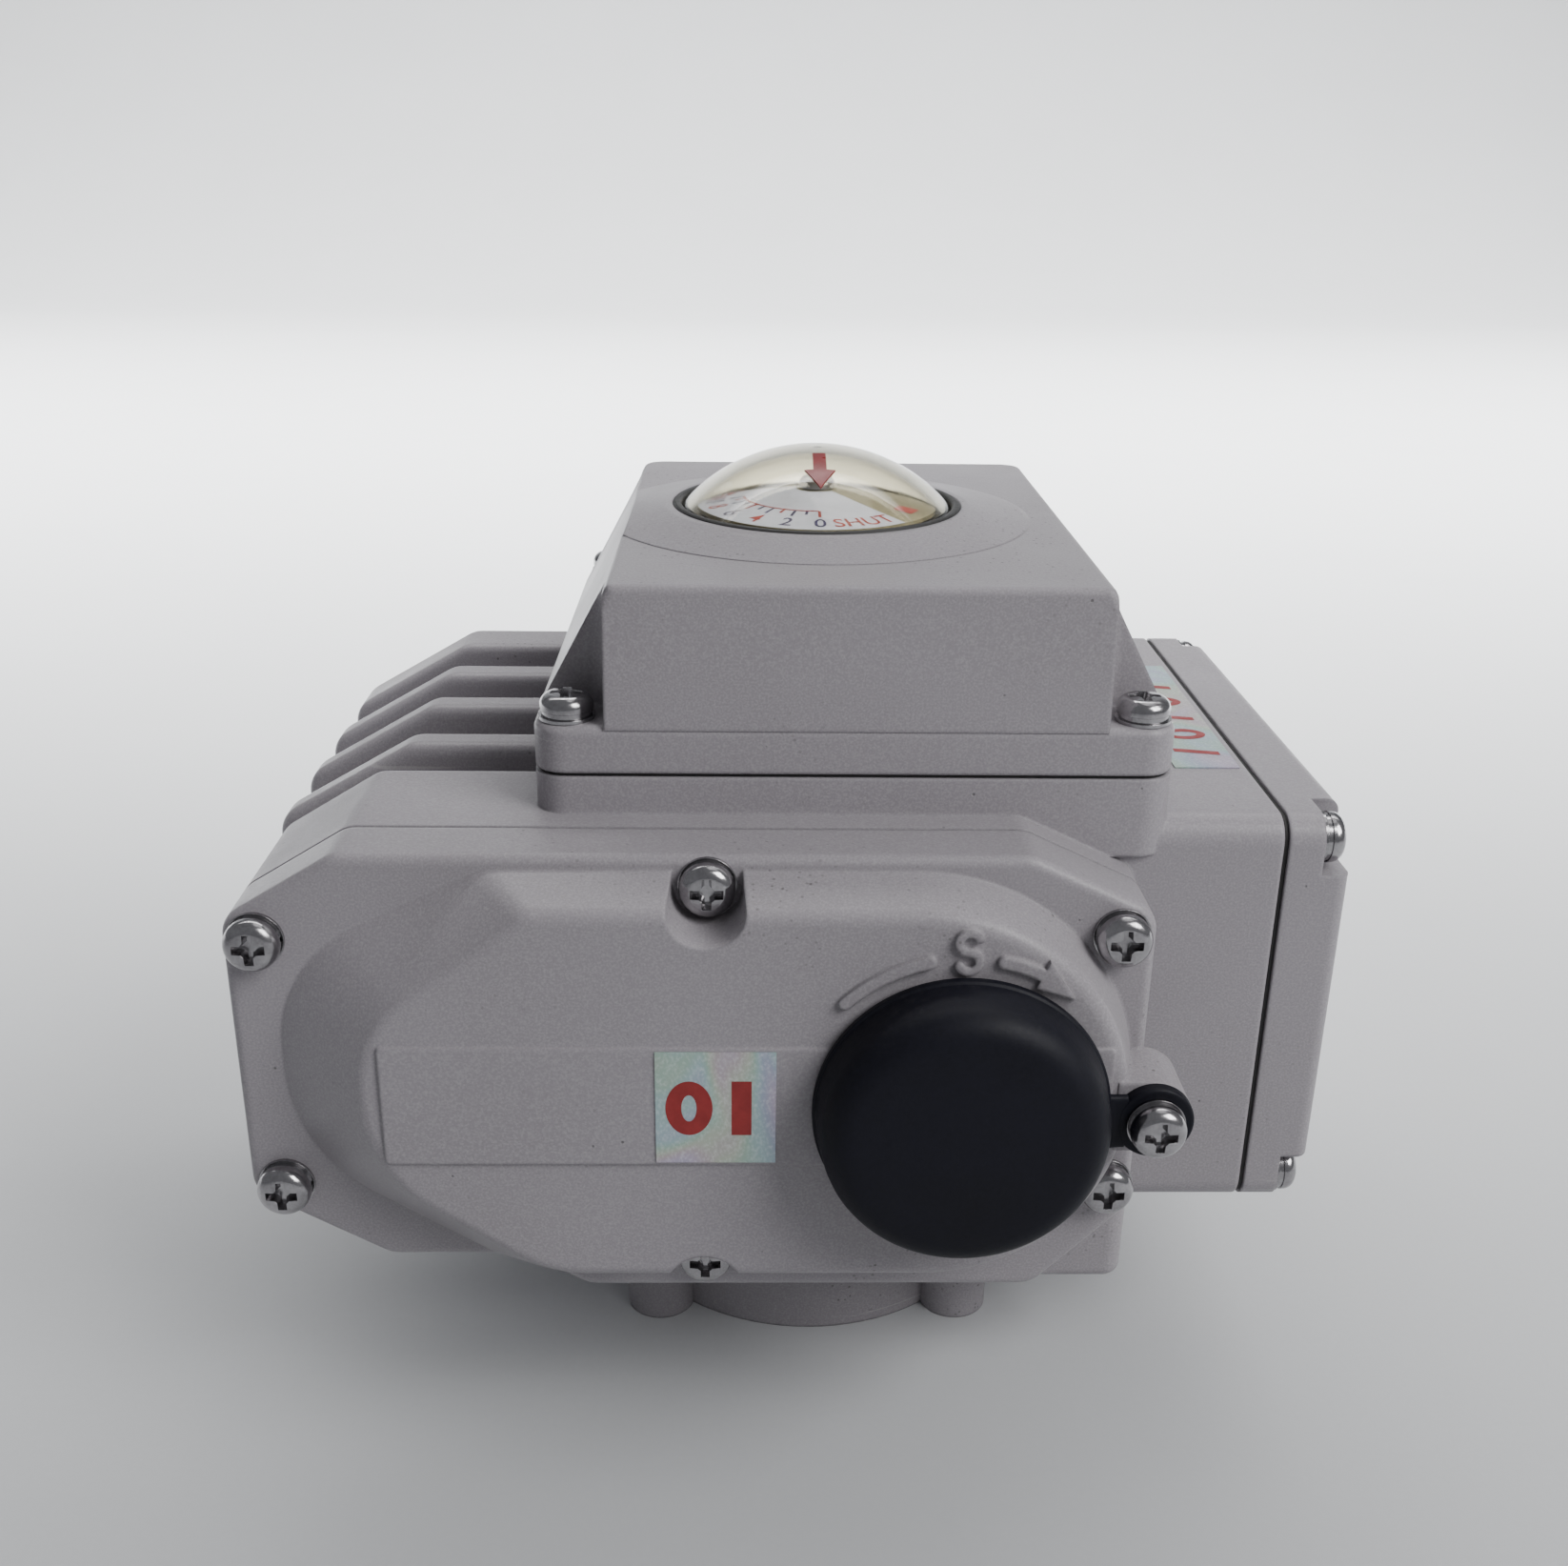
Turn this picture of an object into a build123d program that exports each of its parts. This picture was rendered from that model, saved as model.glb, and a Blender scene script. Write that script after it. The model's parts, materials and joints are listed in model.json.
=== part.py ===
from build123d import *
import math
import os

# Quarter-turn electric valve actuator, in millimetres.
# Z is the output axis, Z = 0 the mounting face, and the gear cover faces -Y.

# ---------------------------------------------------------------- driving dimensions
# Gear cover outline, seen from the front (X, Z)
COVER_OUTLINE = [
    (-64.0, 98.0), (-79.5, 88.5), (-79.5, 46.0), (-61.0, 35.4), (-42.4, 35.4),
    (-33.0, 30.0), (31.0, 30.0), (44.0, 43.5), (44.0, 90.0), (27.0, 98.0),
]
COVER_CORNER_R = 4.5
COVER_FACE_Y = -59.7        # flat rim of the front cover
SEAM_Y = -49.8              # joint between front cover and housing
FLANGE_BACK_Y = -27.8       # back of the housing's gear flange
CHAMBER_Y = -42.5           # floor of the gear chamber
COVER_WALL = 3.8
GASKET = 0.6

# Raised bulge on the front cover (X, Z), at its foot and at its face
BULGE_FOOT = [(-45.0, 96.3), (-73.8, 82.5), (-73.8, 53.0), (-43.0, 33.6), (42.3, 33.6), (42.3, 96.3)]
BULGE_FACE = [(-38.0, 93.8), (-60.6, 76.5), (-60.6, 55.5), (-37.0, 39.0), (40.0, 39.0), (40.0, 93.8)]
BULGE_FOOT_R = [10.0, 20.0, 24.0, 22.0, 31.0, 31.0]
BULGE_FACE_R = [4.0, 17.0, 20.0, 16.0, 26.0, 28.0]
BULGE_Y = -68.2             # face of the bulge
BULGE_WALL = 2.7
BAND_Z = (56.7, 75.1)       # flat band across the bulge
BAND_PROUD = 0.4

# Front cover screws (X, Z): four corners, top middle, bottom middle
COVER_SCREWS = [(-74.9, 86.0), (-74.4, 48.0), (-15.6, 94.2), (39.2, 87.0), (40.1, 48.1), (-16.1, 36.6)]
BOSS_R = 5.2
LOW_BOSS_R = 3.6            # the bottom middle boss, beside the first gear
NOTCH_R = 4.6               # clearance in the bulge round the two middle screws
EAR_XZ = (43.5, 64.4)       # ear for the cap strap
EAR_FACE_Y = -68.3
EAR_R = 5.2
EAR_BACK_Y = -58.9

# Housing
FIN_OUTLINE = [(-62.0, 97.6), (-83.4, 85.2), (-83.4, 47.5), (-62.0, 36.0), (-24.0, 36.0), (-24.0, 97.6)]
FIN_Y = [(-17.8, -10.9), (-0.1, 6.9), (16.9, 24.1), (34.4, 46.2)]
BARREL_OUTLINE = [(-61.0, 91.0), (-77.6, 81.0), (-77.6, 51.5), (-61.0, 41.0), (-24.0, 41.0), (-24.0, 91.0)]
BODY_X = (-39.7, 48.35)
BODY_Y = (-44.4, 45.4)
BODY_Z = (19.0, 97.9)
PAD_Y = (-45.4, 44.2)
PAD_TOP_Z = 103.4
WIRING_X = (44.0, 64.9)
WIRING_Y = (-44.4, 48.0)
WIRING_Z = (33.4, 97.0)
LID_X = (65.5, 70.6, 74.9)  # seam, ear face and outer face of the wiring lid
LID_EAR = 9.0
LID_SCREWS = [(-40.2, 92.9), (43.8, 92.9), (-40.2, 37.5), (43.8, 37.5)]

# Mounting flange, ISO 5211 F07: four M8 holes on a 70 mm circle
HUB_R = 32.6
BOLT_CIRCLE = 70.0
BOLT_BOSS_R = 5.6
BOLT_HOLE_R = 3.4
BOLT_DEPTH = 15.0
SOCKET_FLAT = 14.0          # square socket across flats
SOCKET_DEPTH = 16.0

# Top cover
TOP_X = (-39.7, 48.35)
TOP_Y = (-45.4, 44.2)
TOP_FLANGE_Z = (104.0, 110.6)
TOP_FACE_X = (-29.0, 37.8)
TOP_FACE_Z = 130.0
TOP_EAR = 10.0
TOP_WALL = 3.0
TOP_SCREWS = [(-35.2, -40.9), (43.9, -40.9), (-35.2, 39.7), (43.9, 39.7)]
COLLAR_FOOT_R = 33.0
COLLAR_TOP_R = 23.6
COLLAR_Z = 131.8
DOME_R = 20.9
DOME_FOOT_Z = 131.4
DOME_RISE = 9.2
DOME_WALL = 1.6

# Manual drive and its cap
CAP_R = 19.6
CAP_FRONT_Y = -78.6
CAP_SEAT_Y = -68.85
STRAP_EDGE_X = 38.8         # where the eyelet ends and the strap starts to bend
HEX_FLAT = 5.0
CAP_BOSS_R = 12.0           # round boss under the cap
CAP_BOSS_Y = -71.4
SEAL_R = 8.0
SEAL_Y = (-71.0, -66.6)

# Gear train: three spur stages, then the worm
MODULE = 0.8
PINION_TEETH = 12
WHEEL_TEETH = 50
STAGE = MODULE * (PINION_TEETH + WHEEL_TEETH) / 2
MESH_ANGLES = (180.0, 200.0, 160.0)   # from worm shaft to second, first gear and motor
WORM_X = 17.8
DRIVE_Z = 66.0
LAYERS = [(-46.0, -49.0), (-50.0, -53.3), (-54.6, -58.3)]
PRESSURE_ANGLE = 20.0
WORM_MODULE = 0.75
WORM_WHEEL_TEETH = 36
WORM_TURNS = 10

MOTOR_R = 20.2
SHAFT_STEP = [12.0, 8.0, 6.0, 4.0]    # output shaft radii, from the socket upwards

os.makedirs("parts", exist_ok=True)


# ---------------------------------------------------------------- helpers
def front_plane(y):
    """Sketch plane at depth y, X to the right and Z up, facing -Y."""
    return Plane.XZ.offset(-y)


def save(piece, label):
    """Label one finished piece and write it."""
    piece.label = label
    export_step(piece, f"parts/{label}.step")


def block(xs, ys, zs, mode=Mode.ADD):
    """Cuboid between two X, two Y and two Z values."""
    with Locations(((xs[0] + xs[1]) / 2, (ys[0] + ys[1]) / 2, (zs[0] + zs[1]) / 2)):
        Box(abs(xs[1] - xs[0]), abs(ys[1] - ys[0]), abs(zs[1] - zs[0]), mode=mode)


TURN = {"x": (0, 90, 0), "-x": (0, -90, 0), "y": (-90, 0, 0), "-y": (90, 0, 0), "z": (0, 0, 0), "-z": (180, 0, 0)}


def rod(axis, start, radius, length, mode=Mode.ADD):
    """Cylinder that starts at a point and runs along the named axis."""
    with Locations(Location(start, TURN[axis])):
        Cylinder(radius, length, align=(Align.CENTER, Align.CENTER, Align.MIN), mode=mode)


def rounded_outline(points, radii):
    """Polygon with its own rounding at each corner, corners given in order."""
    with BuildSketch() as flat:
        with BuildLine():
            FilletPolyline(*points, radius=radii, close=True)
        make_face()
    return flat.sketch


def arc_path(centre, radius, start, size):
    """Circular arc as a path for a slot, angles in degrees."""
    with BuildLine() as path:
        CenterArc(centre, radius, start, size)
    return path.wire()


def shifted(points, amount):
    """Corner points of a convex outline moved inwards by an amount."""
    count = len(points)
    moved = []
    for i in range(count):
        before, here, after = points[i - 1], points[i], points[(i + 1) % count]
        in_a = math.atan2(here[1] - before[1], here[0] - before[0])
        in_b = math.atan2(after[1] - here[1], after[0] - here[0])
        middle = (in_a + in_b) / 2
        if abs(in_b - in_a) > math.pi:
            middle += math.pi
        reach = amount / math.cos((in_b - in_a) / 2)
        side = abs(reach)
        moved.append((here[0] - side * math.sin(middle), here[1] + side * math.cos(middle)))
    return moved


def gear_profile(teeth, module, phase, thinning=0.12, addendum=1.0, dedendum=1.2):
    """Involute spur gear outline; one tooth stands at angle phase, in degrees."""
    pitch_r = module * teeth / 2
    base_r = pitch_r * math.cos(math.radians(PRESSURE_ANGLE))
    tip_r = pitch_r + addendum * module
    root_r = pitch_r - dedendum * module
    start_r = max(base_r, root_r)
    half_pitch = math.pi / (2 * teeth) * (1 - 2 * thinning)

    def involute(radius):
        ratio = min(1.0, base_r / radius)
        return math.tan(math.acos(ratio)) - math.acos(ratio)

    at_pitch = involute(pitch_r)
    steps = 4
    radii = [start_r + (tip_r - start_r) * i / (steps - 1) for i in range(steps)]
    flank = [(r, half_pitch + at_pitch - involute(r)) for r in radii]
    if start_r > root_r:
        flank.insert(0, (root_r, flank[0][1]))
    points = []
    for tooth in range(teeth):
        middle = math.radians(phase) + 2 * math.pi * tooth / teeth
        one = [(r, middle - a) for r, a in flank] + [(r, middle + a) for r, a in reversed(flank)]
        points += [(r * math.cos(a), r * math.sin(a)) for r, a in one]
    return points


def meshed_phase(angle, teeth_a, phase_a, teeth_b):
    """Tooth angle of gear b so that it meshes with gear a, which lies at angle + 180 from b."""
    offset_a = phase_a - angle
    return angle + 180 - offset_a * teeth_a / teeth_b + 180 / teeth_b


def pan_head(axis, seat, length, head_r=3.7, head_h=2.4, shank_r=2.0):
    """Cross-recess pan-head screw: seat is under the head, axis points out of the head."""
    with BuildPart() as screw:
        with BuildSketch(Plane.XZ) as profile:
            with BuildLine():
                Polyline((0, head_h), (0, -length), (shank_r * 0.75, -length), (shank_r, -length + 0.6),
                         (shank_r, 0), (head_r, 0), (head_r, head_h * 0.2))
                TangentArc((head_r, head_h * 0.2), (head_r * 0.56, head_h * 0.9), tangent=(0, 1))
                Line((head_r * 0.56, head_h * 0.9), (0, head_h))
            make_face()
        revolve(axis=Axis.Z)
        with BuildSketch(Plane.XY.offset(head_h)):
            Rectangle(head_r * 1.2, head_r * 0.36)
            Rectangle(head_r * 0.36, head_r * 1.2)
            Circle(head_r * 0.33)
        extrude(amount=-head_h * 0.65, taper=12, mode=Mode.SUBTRACT)
    return Location(seat, TURN[axis]) * screw.part


def washer(axis, seat, outer_r, thickness, hole_r=2.25, split=False):
    """Plain or split spring washer that starts at seat and grows along axis."""
    with BuildPart() as ring:
        Cylinder(outer_r, thickness, align=(Align.CENTER, Align.CENTER, Align.MIN))
        Cylinder(hole_r, thickness, align=(Align.CENTER, Align.CENTER, Align.MIN), mode=Mode.SUBTRACT)
        if split:
            with Locations(Location((outer_r / 2 + hole_r / 2, 0, thickness / 2), (25, 0, 0))):
                Box(outer_r, 0.7, thickness * 3, mode=Mode.SUBTRACT)
    return Location(seat, TURN[axis]) * ring.part


def group(pieces):
    """Several separate solids in one node."""
    return Compound(children=list(pieces))


def ball_bearing(x, y, z, bore_r, outer_r, width):
    """Inner ring, outer ring and seven balls, the axis along Y."""
    mid_r = (bore_r + outer_r) / 2
    ball_r = (outer_r - bore_r) * 0.26
    race = ball_r * 0.62
    with BuildPart() as outer:
        rod("y", (x, y, z), outer_r, width)
        rod("y", (x, y, z), mid_r + race, width, Mode.SUBTRACT)
    with BuildPart() as inner:
        rod("y", (x, y, z), mid_r - race, width)
        rod("y", (x, y, z), bore_r, width, Mode.SUBTRACT)
    with BuildPart() as cage:
        rod("y", (x, y + width * 0.2, z), mid_r + race - 0.1, width * 0.6)
        rod("y", (x, y + width * 0.2, z), mid_r - race + 0.1, width * 0.6, Mode.SUBTRACT)
    return [outer.part, inner.part, cage.part]


# ---------------------------------------------------------------- positions worked out
def step_from(point, angle, distance):
    return (
        point[0] + distance * math.cos(math.radians(angle)),
        point[1] + distance * math.sin(math.radians(angle)),
    )


WORM_XZ = (WORM_X, DRIVE_Z)
SECOND_XZ = step_from(WORM_XZ, MESH_ANGLES[0], STAGE)
FIRST_XZ = step_from(SECOND_XZ, MESH_ANGLES[1], STAGE)
MOTOR_XZ = step_from(FIRST_XZ, MESH_ANGLES[2], STAGE)
PLATE_SCREWS = [(-54.0, 89.4), (-54.0, 43.0), (-30.0, 84.0), (6.0, 84.0), (6.0, 47.0)]
PLATE_OUTLINE = [
    (-73.0, 58.0), (-73.0, 74.0), (-60.0, 93.0), (-46.0, 93.0), (-30.0, 89.0), (8.0, 89.0),
    (28.0, 78.0), (28.0, 54.0), (8.0, 43.0), (-40.0, 39.8), (-60.0, 39.8),
]
PLATE_Y = (-45.0, -42.5)
MOTOR_BORE_R = MOTOR_R + 0.3
WORM_BORE_R = 6.6
BEARING_R = 7.5
BEARING_W = 5.0
WORM_BEARINGS_Y = (-42.4, 22.0)
CHAMBER_R = 17.5
CHAMBER_FLOOR_Z = 50.0
FLOOR_Z = 86.0              # floor of the switch compartment
SEAT_R = 24.0
SEAT_Z = 82.0
BUSH_R = 13.5
BUSH_Z = 30.0
LOW_BORE_R = 12.4
TOP_BOX = ((-36.0, 44.4), (-41.0, 40.4))
WIRING_ROOM = ((47.2, 66.0), (-40.6, 44.2), (37.4, 93.2))
GLAND_X = 55.4
GLAND_Z = (50.5, 80.0)
GLAND_HOLE_R = 8.0
STOP_PIN_R = 1.5
STOP_RING_R = 15.4
STOP_REST = 135.0           # where the stop arm points when shut
STOP_ARM_HALF = 20.0
STOP_SPARE = 2.0            # free angle beyond each end of the travel
PIN_HALF = math.degrees(math.asin(STOP_PIN_R / STOP_RING_R))
STOP_ANGLES = (
    STOP_REST - STOP_ARM_HALF - PIN_HALF - STOP_SPARE,
    STOP_REST + 90 + STOP_ARM_HALF + PIN_HALF + STOP_SPARE,
)
BOLT_XY = [
    (sx * BOLT_CIRCLE / 2 * math.cos(math.pi / 4), sy * BOLT_CIRCLE / 2 * math.sin(math.pi / 4))
    for sx in (-1, 1) for sy in (-1, 1)
]


def boss_radius(index):
    return LOW_BOSS_R if index == 5 else BOSS_R


def chamber_sketch(wall):
    """Inside of the gear chamber, with the screw bosses left standing."""
    with BuildSketch() as room:
        Polygon(*COVER_OUTLINE, align=None)
        offset(amount=-wall, kind=Kind.INTERSECTION)
        fillet(room.vertices(), 2.0)
        for i, (x, z) in enumerate(COVER_SCREWS):
            with Locations((x, z)):
                Circle(boss_radius(i), mode=Mode.SUBTRACT)
    return room.sketch


# ---------------------------------------------------------------- housing
with BuildPart() as fins:
    for front_y, back_y in FIN_Y:
        with BuildSketch(front_plane(back_y)) as fin_shape:
            Polygon(*FIN_OUTLINE, align=None)
            fillet(fin_shape.vertices().sort_by(Axis.X)[:4], 5.0)
        extrude(amount=back_y - front_y)
    fillet(fins.edges().filter_by(Axis.Y, reverse=True), 2.0)

with BuildPart() as gear_flange:
    with BuildSketch(front_plane(FLANGE_BACK_Y)) as flange_shape:
        Polygon(*COVER_OUTLINE, align=None)
        fillet(flange_shape.vertices(), COVER_CORNER_R)
    extrude(amount=FLANGE_BACK_Y - SEAM_Y)
    fillet(gear_flange.faces().sort_by(Axis.Y)[-1].edges(), 2.0)

with BuildPart() as barrel:
    with BuildSketch(front_plane(FIN_Y[-1][1] - 1)) as barrel_shape:
        Polygon(*BARREL_OUTLINE, align=None)
        fillet(barrel_shape.vertices().sort_by(Axis.X)[:4], 6.0)
    extrude(amount=FIN_Y[-1][1] - 1 - FLANGE_BACK_Y + 4)

with BuildPart() as centre_body:
    block(BODY_X, BODY_Y, BODY_Z)
    fillet(centre_body.edges().filter_by(Axis.Z), 3.0)
    fillet(centre_body.faces().sort_by(Axis.Z)[0].edges(), 2.0)

with BuildPart() as pad:
    block(BODY_X, PAD_Y, (BODY_Z[1] - 6, PAD_TOP_Z))
    fillet(pad.edges().filter_by(Axis.Z), 4.5)

with BuildPart() as wiring_box:
    block(WIRING_X, WIRING_Y, WIRING_Z)
    fillet(wiring_box.edges().filter_by(Axis.X), 4.0)
    fillet(wiring_box.faces().sort_by(Axis.X)[-1].edges(), 0.6)

with BuildPart() as housing:
    add(fins.part)
    add(gear_flange.part)
    add(barrel.part)
    add(centre_body.part)
    add(pad.part)
    add(wiring_box.part)
    # Round mounting flange and the four bolt bosses under it
    rod("z", (0, 0, 0), HUB_R, BODY_Z[0] + 3)
    for x, y in BOLT_XY:
        rod("z", (x, y, 0), BOLT_BOSS_R, BODY_Z[0] + 3)
        rod("z", (x, y, 0), BOLT_HOLE_R, BOLT_DEPTH, Mode.SUBTRACT)
    # Gear chamber, motor bore and worm bore
    room_shape = chamber_sketch(COVER_WALL)
    extrude(front_plane(CHAMBER_Y) * room_shape, amount=CHAMBER_Y - SEAM_Y, mode=Mode.SUBTRACT)
    rod("y", (MOTOR_XZ[0], CHAMBER_Y - 1, MOTOR_XZ[1]), MOTOR_BORE_R, 41 - CHAMBER_Y + 1, Mode.SUBTRACT)
    rod("y", (WORM_X, CHAMBER_Y - 1, DRIVE_Z), WORM_BORE_R, 29 - CHAMBER_Y, Mode.SUBTRACT)
    rod("y", (WORM_X, CHAMBER_Y - 1, DRIVE_Z), BEARING_R + 0.02, BEARING_W + 1.2, Mode.SUBTRACT)
    rod("y", (WORM_X, WORM_BEARINGS_Y[1] - 3, DRIVE_Z), BEARING_R + 0.02, BEARING_W + 3.1, Mode.SUBTRACT)
    # Worm wheel chamber, bearing plate seat and shaft bore
    rod("z", (0, 0, CHAMBER_FLOOR_Z), CHAMBER_R, FLOOR_Z - CHAMBER_FLOOR_Z + 1, Mode.SUBTRACT)
    rod("z", (0, 0, SEAT_Z), SEAT_R, FLOOR_Z - SEAT_Z + 1, Mode.SUBTRACT)
    rod("z", (0, 0, BUSH_Z), BUSH_R, CHAMBER_FLOOR_Z - BUSH_Z, Mode.SUBTRACT)
    rod("z", (0, 0, 0), LOW_BORE_R, BUSH_Z, Mode.SUBTRACT)
    with PolarLocations(20.6, 3, 30):
        with Locations((0, 0, SEAT_Z - 8)):
            Cylinder(1.55, 8, align=(Align.CENTER, Align.CENTER, Align.MIN), mode=Mode.SUBTRACT)
    for angle in STOP_ANGLES:
        x, y = step_from((0, 0), angle, STOP_RING_R)
        rod("z", (x, y, CHAMBER_FLOOR_Z - 6), STOP_PIN_R + 0.02, 6, Mode.SUBTRACT)
    # Switch compartment and wiring compartment with the passage between them
    block(TOP_BOX[0], TOP_BOX[1], (FLOOR_Z, PAD_TOP_Z), Mode.SUBTRACT)
    block(*WIRING_ROOM, Mode.SUBTRACT)
    rod("x", (TOP_BOX[0][1] - 1, 8, 90), 3.0, 5, Mode.SUBTRACT)
    # Threaded holes for the cover screws
    for x, z in COVER_SCREWS:
        rod("y", (x, SEAM_Y, z), 2.05, 7, Mode.SUBTRACT)
    for x, z in PLATE_SCREWS:
        rod("y", (x, CHAMBER_Y, z), 1.55, 7, Mode.SUBTRACT)
    for x, y in TOP_SCREWS:
        rod("-z", (x, y, PAD_TOP_Z), 2.05, 10, Mode.SUBTRACT)
    for y, z in LID_SCREWS:
        rod("-x", (WIRING_X[1], y, z), 2.05, 10, Mode.SUBTRACT)
    # Cable entries in the back of the wiring box
    for z in GLAND_Z:
        rod("-y", (GLAND_X, WIRING_Y[1], z), GLAND_HOLE_R, 6, Mode.SUBTRACT)
save(housing.part, "housing")


# ---------------------------------------------------------------- front cover
def bulge_loft(y_foot, y_face, inset):
    """Bulge between its foot outline and its face outline, both drawn in by an inset."""
    foot = rounded_outline(shifted(BULGE_FOOT, inset), [r - inset for r in BULGE_FOOT_R])
    face = rounded_outline(shifted(BULGE_FACE, inset), [r - inset for r in BULGE_FACE_R])
    with BuildPart() as shape:
        loft([front_plane(y_foot) * foot.face(), front_plane(y_face) * face.face()], ruled=True)
    return shape.part


def screw_notch(x, z, height, towards):
    """U-shaped clearance in the bulge round a rim screw."""
    with BuildPart() as notch:
        with BuildSketch(front_plane(COVER_FACE_Y)) as slot:
            with Locations((x, z)):
                Circle(NOTCH_R)
            with Locations((x, z + towards * height / 2)):
                Rectangle(2 * NOTCH_R, height)
        extrude(amount=12, taper=-4)
    return notch.part


bulge = bulge_loft(COVER_FACE_Y + 0.5, BULGE_Y, 0.0)
with BuildPart() as bulge_room:
    add(bulge_loft(COVER_FACE_Y + 3.2, BULGE_Y + 3.3, BULGE_WALL))
    # Walls kept round the two notches
    for x, z in (COVER_SCREWS[2], COVER_SCREWS[5]):
        rod("-y", (x, COVER_FACE_Y + 4, z), 7.8, 14, Mode.SUBTRACT)
top_notch = screw_notch(COVER_SCREWS[2][0], COVER_SCREWS[2][1], 12, 1)
low_notch = screw_notch(COVER_SCREWS[5][0], COVER_SCREWS[5][1], 12, -1)
with BuildPart() as front_cover:
    with BuildSketch(front_plane(SEAM_Y - GASKET)) as rim_shape:
        Polygon(*COVER_OUTLINE, align=None)
        fillet(rim_shape.vertices(), COVER_CORNER_R)
    extrude(amount=SEAM_Y - GASKET - COVER_FACE_Y)
    fillet(front_cover.faces().sort_by(Axis.Y)[0].edges(), 1.4)
    add(bulge)
    fillet(front_cover.faces().sort_by(Axis.Y)[0].edges(), 2.0)
    # Flat band across the bulge
    with BuildSketch(front_plane(BULGE_Y + 0.5)) as band_shape:
        with Locations(((BULGE_FACE[1][0] + BULGE_FACE[4][0]) / 2, sum(BAND_Z) / 2)):
            Rectangle(BULGE_FACE[4][0] - BULGE_FACE[1][0] - 4.0, BAND_Z[1] - BAND_Z[0])
        fillet(band_shape.vertices(), 1.0)
    extrude(amount=BAND_PROUD + 0.5, taper=25)
    # Notches round the two middle screws
    add(top_notch, mode=Mode.SUBTRACT)
    add(low_notch, mode=Mode.SUBTRACT)
    rod("-y", (*COVER_SCREWS[4][:1], COVER_FACE_Y, COVER_SCREWS[4][1]), 4.9, 12, Mode.SUBTRACT)
    # Boss round the manual drive and the ear for the cap strap
    rod("-y", (WORM_X, BULGE_Y + 1, DRIVE_Z), CAP_BOSS_R, BULGE_Y + 1 - CAP_BOSS_Y)
    rod("-y", (EAR_XZ[0], EAR_BACK_Y, EAR_XZ[1]), EAR_R, EAR_BACK_Y - EAR_FACE_Y)
    block((38.6, EAR_XZ[0]), (EAR_FACE_Y, EAR_BACK_Y), (EAR_XZ[1] - EAR_R, EAR_XZ[1] + EAR_R))
    # Raised arrow, closing direction, over the manual drive
    with BuildSketch(front_plane(BULGE_Y + 0.3)) as arrow:
        SlotArc(arc_path(WORM_XZ, 22.0, 103, 32), 1.7)
        SlotArc(arc_path(WORM_XZ, 22.0, 64, 14), 1.7)
        Polygon((28.2, 87.7), (31.9, 82.2), (26.6, 83.9), align=None)
        SlotArc(arc_path((WORM_X, 90.3), 1.35, 25, 245), 1.1)
        SlotArc(arc_path((WORM_X, 87.6), 1.35, -155, 245), 1.1)
    extrude(amount=0.3 + 0.7)
    # Hollow inside
    extrude(front_plane(SEAM_Y - GASKET) * room_shape, amount=SEAM_Y - GASKET - COVER_FACE_Y - 3.2,
            mode=Mode.SUBTRACT)
    add(bulge_room.part, mode=Mode.SUBTRACT)
    # Shaft bore with its seal seat, and the screw holes
    rod("-y", (WORM_X, BULGE_Y + 6, DRIVE_Z), 4.6, 14, Mode.SUBTRACT)
    rod("-y", (WORM_X, SEAL_Y[1], DRIVE_Z), SEAL_R + 0.02, 10, Mode.SUBTRACT)
    for x, z in COVER_SCREWS:
        rod("-y", (x, SEAM_Y + 1, z), 2.2, 14, Mode.SUBTRACT)
    rod("-y", (EAR_XZ[0], EAR_BACK_Y + 1, EAR_XZ[1]), 2.05, 14, Mode.SUBTRACT)
save(front_cover.part, "front_cover")

with BuildPart() as front_gasket:
    with BuildSketch(front_plane(SEAM_Y - 0.05)) as ring_shape:
        Polygon(*COVER_OUTLINE, align=None)
        fillet(ring_shape.vertices(), COVER_CORNER_R)
        offset(amount=-0.35)
    extrude(amount=GASKET - 0.1)
    extrude(front_plane(SEAM_Y) * room_shape, amount=GASKET, mode=Mode.SUBTRACT)
    for x, z in COVER_SCREWS:
        rod("-y", (x, SEAM_Y + 1, z), 2.25, 3, Mode.SUBTRACT)
save(front_gasket.part, "front_gasket")


# ---------------------------------------------------------------- top cover, dome and indicator
def top_wedge(inset, z_low, z_high):
    """Upper part of the top cover: upright front and back, sides leaning inwards."""
    slope = (TOP_FACE_X[0] - TOP_X[0]) / (TOP_FACE_Z - TOP_FLANGE_Z[1])
    slope_right = (TOP_X[1] - TOP_FACE_X[1]) / (TOP_FACE_Z - TOP_FLANGE_Z[1])

    def section(z):
        rise = max(0.0, z - TOP_FLANGE_Z[1])
        left = TOP_X[0] + slope * rise + inset
        right = TOP_X[1] - slope_right * rise - inset
        lean = 0.02 * rise
        front, back = TOP_Y[0] + inset + lean, TOP_Y[1] - inset - lean
        with BuildSketch() as cut:
            with Locations(((left + right) / 2, (front + back) / 2)):
                Rectangle(right - left, back - front)
        return Plane.XY.offset(z) * cut.face()

    with BuildPart() as wedge:
        loft([section(z_low), section(z_high)], ruled=True)
    return wedge.part


def top_corners(reach, z_low, z_high):
    """Square blocks over the four corners, where the screw ears are."""
    with BuildPart() as corners:
        for x in ((TOP_X[0] - 2, TOP_X[0] + reach), (TOP_X[1] - reach, TOP_X[1] + 2)):
            for y in ((TOP_Y[0] - 2, TOP_Y[0] + reach), (TOP_Y[1] - reach, TOP_Y[1] + 2)):
                block(x, y, (z_low, z_high))
        fillet(corners.edges().filter_by(Axis.Z), 3.0)
    return corners.part


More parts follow.
